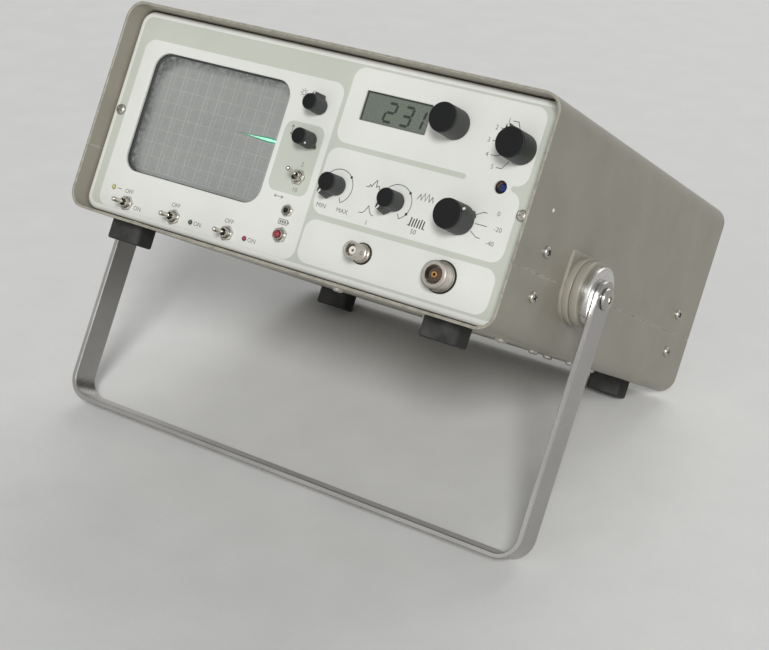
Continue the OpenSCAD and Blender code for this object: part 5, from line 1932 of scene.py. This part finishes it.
@dataclass
class Jacks:
    """The bayonet jack and the threaded jack with their insulators and contacts, and black rings round their
    flanges; the rings, the bayonet's black contact and the threaded jack's dark insulator are painted shade.
    """

    drawing: Drawing
    back_len: float = 15.6
    flange_t: float = 1.6
    mouth: float = 8.0
    sleeve_len: float = 5.5
    bayonet_r: float = 4.8
    bayonet_h: float = 13.5
    bayonet_bore: float = 3.4
    bayonet_sleeve: float = 2.4
    bayonet_shank: float = 4.5
    bayonet_flange: float = 5.4
    bayonet_shadow_ring: float = 6.1
    thread_r: float = 7.94
    thread_h: float = 10.0
    thread_bore: float = 5.1
    thread_sleeve: float = 3.97
    thread_shank: float = 7.44
    thread_flange: float = 8.4
    thread_shadow_ring: float = 9.14
    pitch: float = 1.06
    pin_bore: float = 0.8
    contact_r: float = 1.7
    contact_h: float = 1.3
    pin_h: float = 3.4
    shadow_ring_h: float = 0.8
    fit: float = 0.02

    def build_shadow_ring(self, name: str, flange: float, outer: float, place: Matrix) -> None:
        """Draw the black ring round a flange, a painted shadow of the gap there.

        Args:
            name: Name of the piece.
            flange: Radius of the flange.
            outer: Radius of the ring.
            place: Where the jack stands.
        """
        # A black ring in place of the shadow in the gap round the flange: painted shadow.
        ease, inner = 0.2, flange + self.fit
        profile = [(inner, 0), (outer, 0), (outer, self.shadow_ring_h - ease), (outer - ease, self.shadow_ring_h),
                   (inner, self.shadow_ring_h)]
        ring = Form().tube(profile, place, 56)
        Piece(name, ring, DEEP_BLACK, Slot.BLACK).place(self.drawing)

    def shell(self, height: float, bore: float, shank: float, flange: float, barrel: Outline) -> Form:
        """Draw a jack's metal shell.

        Args:
            height: How far it stands out of the panel.
            bore: Radius of its mouth.
            shank: Radius of the shank behind the panel.
            flange: Radius of the flange on the panel.
            barrel: Profile of the barrel between flange and rim.

        Returns:
            The shell.
        """
        rim, floor = 0.35, height - self.mouth
        tail = -self.back_len
        profile = [(AXIS_R, tail), (shank - rim, tail), (shank, rim + tail), (shank, 0),
                   (flange, 0), (flange, self.flange_t - rim), (flange - rim, self.flange_t), *barrel,
                   (bore + rim, height), (bore, height - rim), (bore, floor), (AXIS_R, floor)]
        return Form().lathe(profile, steps=56)

    def build_bayonet(self) -> None:
        """Draw the bayonet jack with its two lugs."""
        spot = self.drawing.centre("bnc_jack")
        place = self.drawing.on_panel(spot.x, spot.z)
        r, h, neck, groove = self.bayonet_r, self.bayonet_h, self.bayonet_r - 0.2, 0.35
        barrel = [(neck, self.flange_t), (neck, 4.4), (neck - groove, 4.6), (neck - groove, 5.2),
                  (neck, 5.4), (neck, h - 3.6), (r, h - 3.4), (r, h - 0.3), (r - 0.3, h)]
        shell = self.shell(h, self.bayonet_bore, self.bayonet_shank, self.bayonet_flange, barrel)
        form = Form().join(shell, place)
        lug = Form().lathe([(1.0, 0), (1.0, 1.35), (0.75, 1.6)], steps=20)
        for side in (-90, 90):
            out = Matrix.Rotation(math.radians(side), 4, "Y") @ Matrix.Translation((0, 0, neck - 0.6))
            form.join(lug, place @ Matrix.Translation((0, 0, h - 4.7)) @ out)
        Piece("bayonet_jack_shell", form, NICKEL, Slot.PLATED, nodes=("bnc_jack",)).place(self.drawing)
        self.build_shadow_ring("bayonet_jack_seal", self.bayonet_flange, self.bayonet_shadow_ring, place)
        sleeve = Form().lathe(self.sleeve(self.bayonet_sleeve, h), place, 36)
        Piece("bayonet_jack_insulator", sleeve, INSULATOR, Slot.WHITE,
              nodes=("jack_insulators",)).place(self.drawing)
        # The contact is black: painted shade in the bore.
        low, pin_r = h - self.mouth + 1, self.pin_bore - self.fit
        pin = Form().lathe([(pin_r, low), (pin_r, low + self.pin_h)], place, 24)
        Piece("bayonet_jack_contact", pin, DEEP_BLACK, Slot.BLACK).place(self.drawing)

    def build_threaded(self) -> None:
        """Draw the threaded jack."""
        spot = self.drawing.centre("n_jack")
        place = self.drawing.on_panel(spot.x, spot.z)
        r, h, deep = self.thread_r, self.thread_h, 0.45
        barrel = [(r - deep, self.flange_t), *threaded(r, self.flange_t + 0.2, h - 0.9, self.pitch, deep),
                  (r - deep, h - 0.5), (r - 1.1, h)]
        shell = self.shell(h, self.thread_bore, self.thread_shank, self.thread_flange, barrel)
        form = Form().join(shell, place)
        Piece("threaded_jack_shell", form, NICKEL, Slot.PLATED, nodes=("n_jack",)).place(self.drawing)
        self.build_shadow_ring("threaded_jack_seal", self.thread_flange, self.thread_shadow_ring, place)
        sleeve = Form().lathe(self.sleeve(self.thread_sleeve, h), place, 36)
        # Its dark brown is painted shade in the mouth.
        Piece("threaded_jack_insulator", sleeve, INSULATOR_IN_SHADE, Slot.WHITE).place(self.drawing)
        pin = Form().tube(self.contact(h - self.mouth + self.sleeve_len), place, 28)
        Piece("threaded_jack_contact", pin, CONTACT_GOLD, Slot.PLATED).place(self.drawing)

    def build(self) -> None:
        """Draw both jacks."""
        self.build_bayonet()
        self.build_threaded()

    def sleeve(self, r: float, h: float) -> Outline:
        """Give the profile of an insulator on the floor of a jack's mouth.

        Args:
            r: Radius of the insulator.
            h: Height of the jack.

        Returns:
            The profile.
        """
        floor, bore = h - self.mouth, self.pin_bore
        top, ease = floor + self.sleeve_len, 0.15
        return [(AXIS_R, floor), (r, floor), (r, top - 2 * ease), (r - 2 * ease, top), (bore + ease, top),
                (bore, top - ease), (bore, floor + 1), (AXIS_R, floor + 1)]

    def contact(self, low: float) -> Outline:
        """Give the closed profile of the contact sleeve, from the height where it starts."""
        r, bore, high = self.contact_r, self.pin_bore, low + self.contact_h
        return [(bore, low), (r, low), (r, high - 0.15), (r - 0.15, high), (bore + 0.1, high),
                (bore, high - 0.1)]


@dataclass
class HubsAndBail:
    """Hub plates, fixed and turning discs, pivot bolts and the bent bar of the bail."""

    drawing: Drawing
    side: float = 146.0
    plate: tuple[float, float, float] = (41.0, 38.0, 1.5)
    hub_r: float = 19.0
    fixed: tuple[float, float] = (1.5, 5.7)
    moving: tuple[float, float] = (6.0, 10.9)
    disc: tuple[float, float] = (10.9, 16.0)
    disc_r: float = 17.0
    bolt_r: float = 4.0
    head_r: float = 6.4
    head: tuple[float, float] = (19.5, 21.9)
    bolt_end: float = -3.6
    key: tuple[float, float] = (4.0, 1.4)
    bar_w: float = 20.0
    bar_t: float = 3.2
    bend: float = 15.0
    arm: float = 162.0
    crossbar: float = -116.0

    def ring(self, r: float, low: float, high: float, ease: float) -> Outline:
        """Give the closed profile of a disc with eased rims and a bolt hole."""
        bore = self.bolt_r + 0.05
        return [(bore, low), (r - ease, low), (r - ease * 0.3, low + ease * 0.3), (r, low + ease),
                (r, high - ease), (r - ease * 0.3, high - ease * 0.3), (r - ease, high), (bore, high)]

    def base_plate(self, up: int) -> Form:
        """Draw a hub's plate, square above and round below.

        Args:
            up: 1 where its top lies along X, -1 where it lies against X.

        Returns:
            The plate.
        """
        tall, wide, thick = self.plate
        corner = 1.2
        square = arc(tall / 2 - corner, wide / 2 - corner, corner, 0, 90, 4)
        foot = arc(0, 0, wide / 2, 90, 270, 24)
        outline = square + foot + [(x, -y) for x, y in square[::-1]]
        return Form().plate([(up * x, y) for x, y in outline], [], 0, thick, 0.4)

    def build_hubs(self) -> None:
        """Draw the discs and plates of both hubs."""
        bases, turning, discs, bolts = Form(), Form(), Form(), Form()
        for side in (-1, 1):
            place = self.drawing.at_hub(side, self.side)
            bases.join(self.base_plate(-side), place)
            bases.tube(self.ring(self.hub_r, *self.fixed, 0.7), place, 72)
            turning.tube(self.ring(self.hub_r, *self.moving, 0.9), place, 72)
            low, high = self.disc
            rim = self.disc_r - 1.4
            groove = [(rim, high), (rim - 0.2, high - 0.25), (rim - 0.5, high)]
            profile = self.ring(self.disc_r, low, high, 0.5)
            discs.tube(profile[:-1] + groove + profile[-1:], place, 72)
            low, high = self.head
            dome = [(self.head_r, low), (self.head_r, low + 0.8), (self.head_r - 0.5, high - 0.8),
                    (self.head_r - 1.3, high - 0.2), (self.head_r - 2.2, high)]
            shank = [(self.bolt_r, self.bolt_end), (self.bolt_r, low)]
            bolt = Form().lathe(shank + dome, steps=40)
            flats, deep = self.key
            hex_key = Form().loft([hexagon_ring(flats, z, steps=24) for z in (high - deep, high + 1)])
            bolts.join(carve(bolt, [hex_key]), place)
        put = self.drawing
        Piece("hub_base_pair", bases, HUB_PAINT, Slot.HUB, nodes=("hub_bases",)).place(put)
        Piece("turning_hub_pair", turning, HUB_PAINT, Slot.HUB, "bail", ("moving_hubs",)).place(put)
        Piece("bright_disc_pair", discs, DISC_METAL, Slot.DISC, "bail", ("bright_discs",)).place(put)
        Piece("pivot_bolt_pair", bolts, SCREW_METAL, Slot.SCREW, nodes=("pivot_bolts",)).place(put)

    def path(self) -> list[tuple[float, float, float]]:
        """Give the bar's middle line from the left arm's end to the right one.

        Returns:
            Points as X, Z and the bar's width there.
        """
        hub_z = self.drawing.HUB.z
        x = self.arm + self.bar_t / 2
        mid = self.bend - self.bar_t / 2
        corner_x = self.arm + self.bar_t - self.bend
        corner_z = self.crossbar + self.bend
        half = self.bar_w / 2
        end = [(x, hub_z + half * math.sin(a), self.bar_w * math.cos(a))
               for a in (math.radians(step) for step in range(87, -1, -6))]
        arm = [(x, hub_z - (hub_z - corner_z) * i / 6, self.bar_w) for i in range(1, 6)]
        turn = [(px, pz, self.bar_w) for px, pz in arc(corner_x, corner_z, mid, 0, -90, 12)]
        right = end + arm + turn
        return [(-px, pz, w) for px, pz, w in right] + right[::-1]

    def build_bail(self) -> None:
        """Draw the bent bar with eased edges."""
        path = self.path()
        hub_y = self.drawing.HUB.y
        ease = 0.5
        rings = []
        for i, (x, z, w) in enumerate(path):
            before, after = path[max(i - 1, 0)], path[min(i + 1, len(path) - 1)]
            along = Vector((after[0] - before[0], after[1] - before[1])).normalized()
            out = Vector((along.y, -along.x))
            half_w, half_t = w / 2, self.bar_t / 2
            cut = min(ease, half_w / 2)
            corners = [(half_w - cut, half_t), (half_w, half_t - ease), (half_w, ease - half_t),
                       (half_w - cut, -half_t), (cut - half_w, -half_t), (-half_w, ease - half_t),
                       (-half_w, half_t - ease), (cut - half_w, half_t)]
            rings.append([Vector((x + out.x * t, hub_y + s, z + out.y * t)) for s, t in corners])
        form = Form().loft(rings)
        Piece("bail_bar", form, BAIL_METAL, Slot.BAIL, "bail", ("bail",)).place(self.drawing)

    def build(self) -> None:
        """Draw the hubs and the bail."""
        self.build_hubs()
        self.build_bail()


def cross(base: float, high: float) -> list[Form]:
    """Draw the two arms of a cross recess between two heights."""
    arm = bar((*CROSS_ARM, high - base), 0.1, base)
    return [arm, Form().join(arm, Matrix.Rotation(math.radians(90), 4, "Z"))]


def pan_screw(length: float) -> Form:
    """Draw a pan-head screw with a cross recess.

    Args:
        length: Length under the head.

    Returns:
        The screw, its head standing on the origin.
    """
    head_r, head_h, shank_r = 3.25, 2.2, 1.75
    profile = [(shank_r - 0.4, -length), (shank_r, 0.4 - length), (shank_r, 0), (head_r, 0), (head_r, 0.9),
               (head_r - 0.2, 1.45), (head_r - 0.65, 1.85), (head_r - 1.3, 2.1), (head_r - 2.2, head_h)]
    return carve(Form().lathe(profile, steps=32), cross(head_h - 1.5, head_h + 1))


@dataclass
class Screws:
    """Cover screws, panel screws and the screws under the bottom cover."""

    drawing: Drawing
    head: float = 2.2
    turn: float = 37.0
    # Depths of the black cross in each recess: painted shade.
    painted_shade: tuple[float, float] = (1.55, 1.3)

    def build(self) -> None:
        """Draw a screw at each packed screw."""
        dark = Form()
        for node, name in (("case_screws", "case_screw_set"), ("bottom_screws", "bottom_screw_set")):
            form = Form()
            shapes: dict[float, Form] = {}
            for i, (low, high) in enumerate(self.drawing.islands(node)):
                size = high - low
                axis = max(range(3), key=lambda k: size[k])
                length = round(size[axis] - self.head, 2)
                if length not in shapes:
                    shapes[length] = pan_screw(length)
                place = self.standing(low, high, axis) @ Matrix.Rotation(math.radians(self.turn * i), 4, "Z")
                form.join(shapes[length], place)
                # A black cross at the bottom of the recess: painted shade.
                if axis != 1:
                    for arm in cross(*(self.head - deep for deep in self.painted_shade)):
                        dark.join(arm, place)
            Piece(name, form, SCREW_METAL, Slot.SCREW, nodes=(node,)).place(self.drawing)
        Piece("screw_recess_dirt", dark, DEEP_BLACK, Slot.BLACK).place(self.drawing)
        self.build_rivet_highlights()

    def build_rivet_highlights(self) -> None:
        """Draw the small rivet on each side, level with the front panel's back, white as a painted
        highlight.
        """
        r, y, z = 1.1, 28.0, 72.0
        form = Form()
        side = self.drawing.box("top_cover")[1].x
        dome = [(r, -0.5), (r, 0.1), (r * 0.85, 0.32), (r * 0.5, 0.5), (AXIS_R, 0.55)]
        for way in (-1, 1):
            place = Matrix.Translation((way * side, y, z)) @ Matrix.Rotation(math.radians(way * 90), 4, "Y")
            form.lathe(dome, place, 24)
        # White in place of the metal's highlight: painted highlight.
        Piece("side_rivets", form, MARK_WHITE, Slot.SCREW).place(self.drawing)

    def standing(self, low: Vector, high: Vector, axis: int) -> Matrix:
        """Place a screw so that its head faces away from the cabinet.

        Args:
            low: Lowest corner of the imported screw.
            high: Highest corner of it.
            axis: Axis that it lies along: 0, 1 or 2.

        Returns:
            Where its head stands and which way it points.
        """
        middle = (low + high) / 2
        depth = self.drawing.box("top_cover")[1].y
        out = Vector()
        out[axis] = -1 if (middle.x, middle.y - depth / 2, -1)[axis] < 0 else 1
        end = middle.copy()
        end[axis] = (high if out[axis] > 0 else low)[axis]
        base = end - out * self.head
        return Matrix.Translation(base) @ out.to_track_quat("Z", "Y").to_matrix().to_4x4()


@dataclass
class Feet:
    """The four rubber feet with a recess for their screws."""

    drawing: Drawing
    corner: float = 3.0
    recess_r: float = 3.75
    recess: float = 5.85
    edge: float = 0.8

    def build(self) -> None:
        """Draw a foot at each packed foot."""
        form = Form()
        for low, high in self.drawing.islands("feet"):
            w, d, h = high - low
            outline = round_rect(-w / 2, -d / 2, w / 2, d / 2, self.corner, 6)
            foot = Form().plate(outline, [], 0, h, self.edge)
            sink = Form().lathe([(self.recess_r, h - self.recess), (self.recess_r, h + 1)], steps=32)
            middle = (low + high) / 2
            place = Matrix.Translation((middle.x, middle.y, high.z)) @ Matrix.Rotation(math.pi, 4, "X")
            form.join(carve(foot, [sink]), place)
        Piece("foot_set", form, FOOT_RUBBER, Slot.RUBBER, nodes=("feet",)).place(self.drawing)


@dataclass
class RearPanel:
    """The flat rear panel with its vents and the mains inlet."""

    drawing: Drawing
    corner: float = 8.8
    vent_w: float = 3.0
    vent_h: float = 40.0
    vent_count: int = 9
    vent_pitch: float = 9.0
    vent_at: tuple[float, float] = (-100.0, 72.0)
    inlet_at: tuple[float, float] = (70.0, 45.0)
    inlet: tuple[float, float] = (27.0, 19.5)
    flange: float = 4.0
    flange_t: float = 2.0
    inlet_depth: float = 18.0
    play: float = 0.2
    wall: float = 1.5
    edge: float = 0.25
    pin: tuple[float, float, float] = (2.0, 4.0, 10.0)

    PINS = ((7, -1), (0, 3), (-7, -1))

    def behind(self, x: float, y: float, z: float) -> Matrix:
        """Place a piece on the rear: its Z points back, its Y up and its X to the left."""
        turn = Matrix.Rotation(math.pi, 4, "Z") @ Matrix.Rotation(math.radians(90), 4, "X")
        return Matrix.Translation((x, y, z)) @ turn

    def build(self) -> None:
        """Draw the panel and the inlet."""
        low, high = self.drawing.box("rear_panel")
        place = self.behind(0, high.y, 0)
        outer = round_rect(low.x, low.z, high.x, high.z, self.corner, 10)
        x, z = self.vent_at
        half_w, half_h = self.vent_w / 2, self.vent_h / 2
        middles = [-x - i * self.vent_pitch for i in range(self.vent_count)]
        holes = [round_rect(middle - half_w, z - half_h, middle + half_w, z + half_h, half_w - 0.01)
                 for middle in middles]
        half_w, half_h = (size / 2 + self.play for size in self.inlet)
        x, z = self.inlet_at
        holes.append(round_rect(-x - half_w, z - half_h, half_w - x, z + half_h, 0.6, 3))
        form = Form().plate(outer, holes, low.y - high.y, 0, self.edge, place)
        Piece("rear_panel_sheet", form, COVER_PAINT, Slot.COVER, nodes=("rear_panel",)).place(self.drawing)
        self.build_inlet(self.behind(x, high.y, z))

    def build_inlet(self, place: Matrix) -> None:
        """Draw the inlet's flange, well and three pins.

        Args:
            place: Where the inlet sits on the panel.
        """
        w, h = self.inlet
        half_w, half_h = w / 2 + self.flange, h / 2 + self.flange
        rim = round_rect(-half_w, -half_h, half_w, half_h, 2.5)
        shell = round_rect(-w / 2, -h / 2, w / 2, h / 2, 2.0)
        well = grow(shell, -self.wall)
        deep = self.inlet_depth
        body = Form().plate(rim, [], 0, self.flange_t, 0.5)
        tub = Form().plate(shell, [], -deep, 0.5)
        hollow = Form().plate(well, [], self.wall - deep, self.flange_t + 1)
        form = Form().join(carve(body, [hollow]), place).join(carve(tub, [hollow]), place)
        pin = bar(self.pin, 0.3, self.wall - deep)
        for x, y in self.PINS:
            form.join(pin, place @ Matrix.Translation((x, y, 0)))
        Piece("mains_inlet", form, BLACK_PLASTIC, Slot.BLACK, nodes=("power_inlet",)).place(self.drawing)


class Inside:
    """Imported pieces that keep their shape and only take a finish."""

    FINISHES = {
        "side_rails": RAIL_METAL, "crt_tube": TUBE_FACE, "crt_yoke": WINDING, "crt_socket": BLACK_PLASTIC,
        "crt_clamp": RAIL_METAL, "lcd_frame": BLACK_PLASTIC, "pot_bodies": CONTROL_METAL,
        "switch_bodies": CONTROL_METAL, "main_board": BOARD_GREEN, "standoffs": SCREW_METAL,
        "tuner_box": RAIL_METAL, "transformer": CORE_IRON, "battery_pack": BATTERY_CASE,
    }

    def dress(self) -> None:
        """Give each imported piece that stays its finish."""
        shafts = {name: CONTROL_METAL for name in frame["nodes"] if name.endswith("_shaft")}
        for name, finish in {**self.FINISHES, **shafts}.items():
            mesh = frame["nodes"][name].data
            mesh.materials.clear()
            mesh.materials.append(finish.material())
            LOG.info("%s keeps its packed shape", name)


@dataclass
class Studio:
    """Pale floor, soft light and the camera."""

    drawing: Drawing
    eye: tuple[float, float, float] = (507.16, -753.26, -7.72)
    azimuth: float = 29.23
    elevation: float = 0.27
    roll: float = 17.49
    focal: float = 1638.9
    image_w: float = 769.0
    sensor: float = 36.0
    floor_size: float = 30.0
    floor_colour: Colour = (224, 224, 222)
    backdrop: Colour = (200, 200, 198)
    sky: float = 0.21
    sky_colour: Colour = (252, 253, 255)

    SUNS = {
        "key": ((0.44, -0.69, 0.57), 2.04, 14),
        "fill": ((0.1, -0.97, 0.2), 0.5, 60),
        "back": ((-0.1, 0.8, 0.6), 0.9, 45),
    }

    def camera(self) -> None:
        """Set the camera where the fitted view has it."""
        az, el, roll = (math.radians(angle) for angle in (self.azimuth, self.elevation, self.roll))
        back = Vector((math.sin(az) * math.cos(el), -math.cos(az) * math.cos(el), math.sin(el)))
        flat_right = (-back).cross(Vector((0, 0, 1))).normalized()
        flat_down = (-back).cross(flat_right)
        right = flat_right * math.cos(roll) - flat_down * math.sin(roll)
        up = -(flat_right * math.sin(roll) + flat_down * math.cos(roll))
        turn = Matrix((right, up, back)).transposed().to_4x4()
        lean = self.drawing.lean.to_3x3().normalized().to_4x4()
        data = bpy.data.cameras.new("camera")
        data.sensor_width = self.sensor
        data.lens = self.focal * self.sensor / self.image_w
        data.clip_start = 0.01
        view = bpy.data.objects.new("camera", data)
        view.matrix_world = Matrix.Translation(self.drawing.lean @ Vector(self.eye)) @ lean @ turn
        bpy.context.scene.collection.objects.link(view)
        bpy.context.scene.camera = view

    def floor(self) -> None:
        """Lay the floor under the object."""
        half = self.floor_size / 2
        mesh = bpy.data.meshes.new("floor")
        corners = [(-half, -half, 0), (half, -half, 0), (half, half, 0), (-half, half, 0)]
        mesh.from_pydata(corners, [], [(0, 1, 2, 3)])
        finish = Finish("studio floor", self.floor_colour, 0.7, 3.0, 0.02, 0.02)
        mesh.materials.append(finish.material())
        ground = bpy.data.objects.new("floor", mesh)
        bpy.context.scene.collection.objects.link(ground)

    def sun(self, name: str, spot: tuple[float, float, float], strength: float, spread: float) -> None:
        """Hang a soft distant lamp.

        Args:
            name: Name of the lamp.
            spot: Direction that the light comes from.
            strength: Its strength on a surface that faces it.
            spread: How wide it looks, in degrees.
        """
        data = bpy.data.lights.new(name, "SUN")
        data.energy = strength
        data.angle = math.radians(spread)
        lamp = bpy.data.objects.new(name, data)
        lamp.rotation_euler = Vector(spot).to_track_quat("Z", "Y").to_euler()
        bpy.context.scene.collection.objects.link(lamp)

    def light(self) -> None:
        """Light the scene softly from the upper right, with a low fill in front and a lamp behind."""
        world = bpy.data.worlds.new("studio")
        world.use_nodes = True
        world.node_tree.nodes.clear()
        shader = Shader(world.node_tree)
        sky = shader.add("ShaderNodeBackground", {"Color": linear(self.sky_colour), "Strength": self.sky})
        seen = shader.add("ShaderNodeBackground", {"Color": linear(self.backdrop), "Strength": 1.0})
        path = shader.add("ShaderNodeLightPath").outputs
        mirrored = shader.math("MAXIMUM", path["Is Glossy Ray"], path["Is Transmission Ray"])
        direct = shader.math("MAXIMUM", path["Is Camera Ray"], mirrored)
        both = shader.add("ShaderNodeMixShader", {0: direct, 1: sky.outputs[0], 2: seen.outputs[0]})
        shader.add("ShaderNodeOutputWorld", {"Surface": both.outputs[0]})
        bpy.context.scene.world = world
        for name, (spot, strength, spread) in self.SUNS.items():
            self.sun(name, spot, strength, spread)

    def build(self) -> None:
        """Set camera, floor and light."""
        self.camera()
        self.floor()
        self.light()
        bpy.context.scene.view_settings.view_transform = "Standard"


def main() -> None:
    """Build every sub-assembly in order."""
    logging.basicConfig(level=logging.INFO, format="%(name)s: %(message)s")
    drawing = Drawing()
    Studio(drawing).build()
    panel = FrontPanel(drawing)
    Covers(drawing).build()
    panel.build()
    PanelPrint(drawing, panel).build()
    Screen(drawing, panel).build()
    Readout(drawing, panel).build()
    for name, size, angle in (
        ("tuning", KnobSize.LARGE, None),
        ("band", KnobSize.LARGE, 116),
        ("reference", KnobSize.LARGE, 30),
        ("sweep", KnobSize.MEDIUM, 240),
        ("span", KnobSize.MEDIUM, 240),
        ("intensity", KnobSize.SMALL, 80),
        ("position", KnobSize.SMALL, -32),
    ):
        Knob(drawing, name, size, angle).build()
    for assembly in (PanelNuts, Toggles, PushButton, Trimmers, Lamps, Jacks, HubsAndBail, Screws, Feet,
                     RearPanel):
        assembly(drawing).build()
    Inside().dress()


if __name__ == "__main__":
    main()
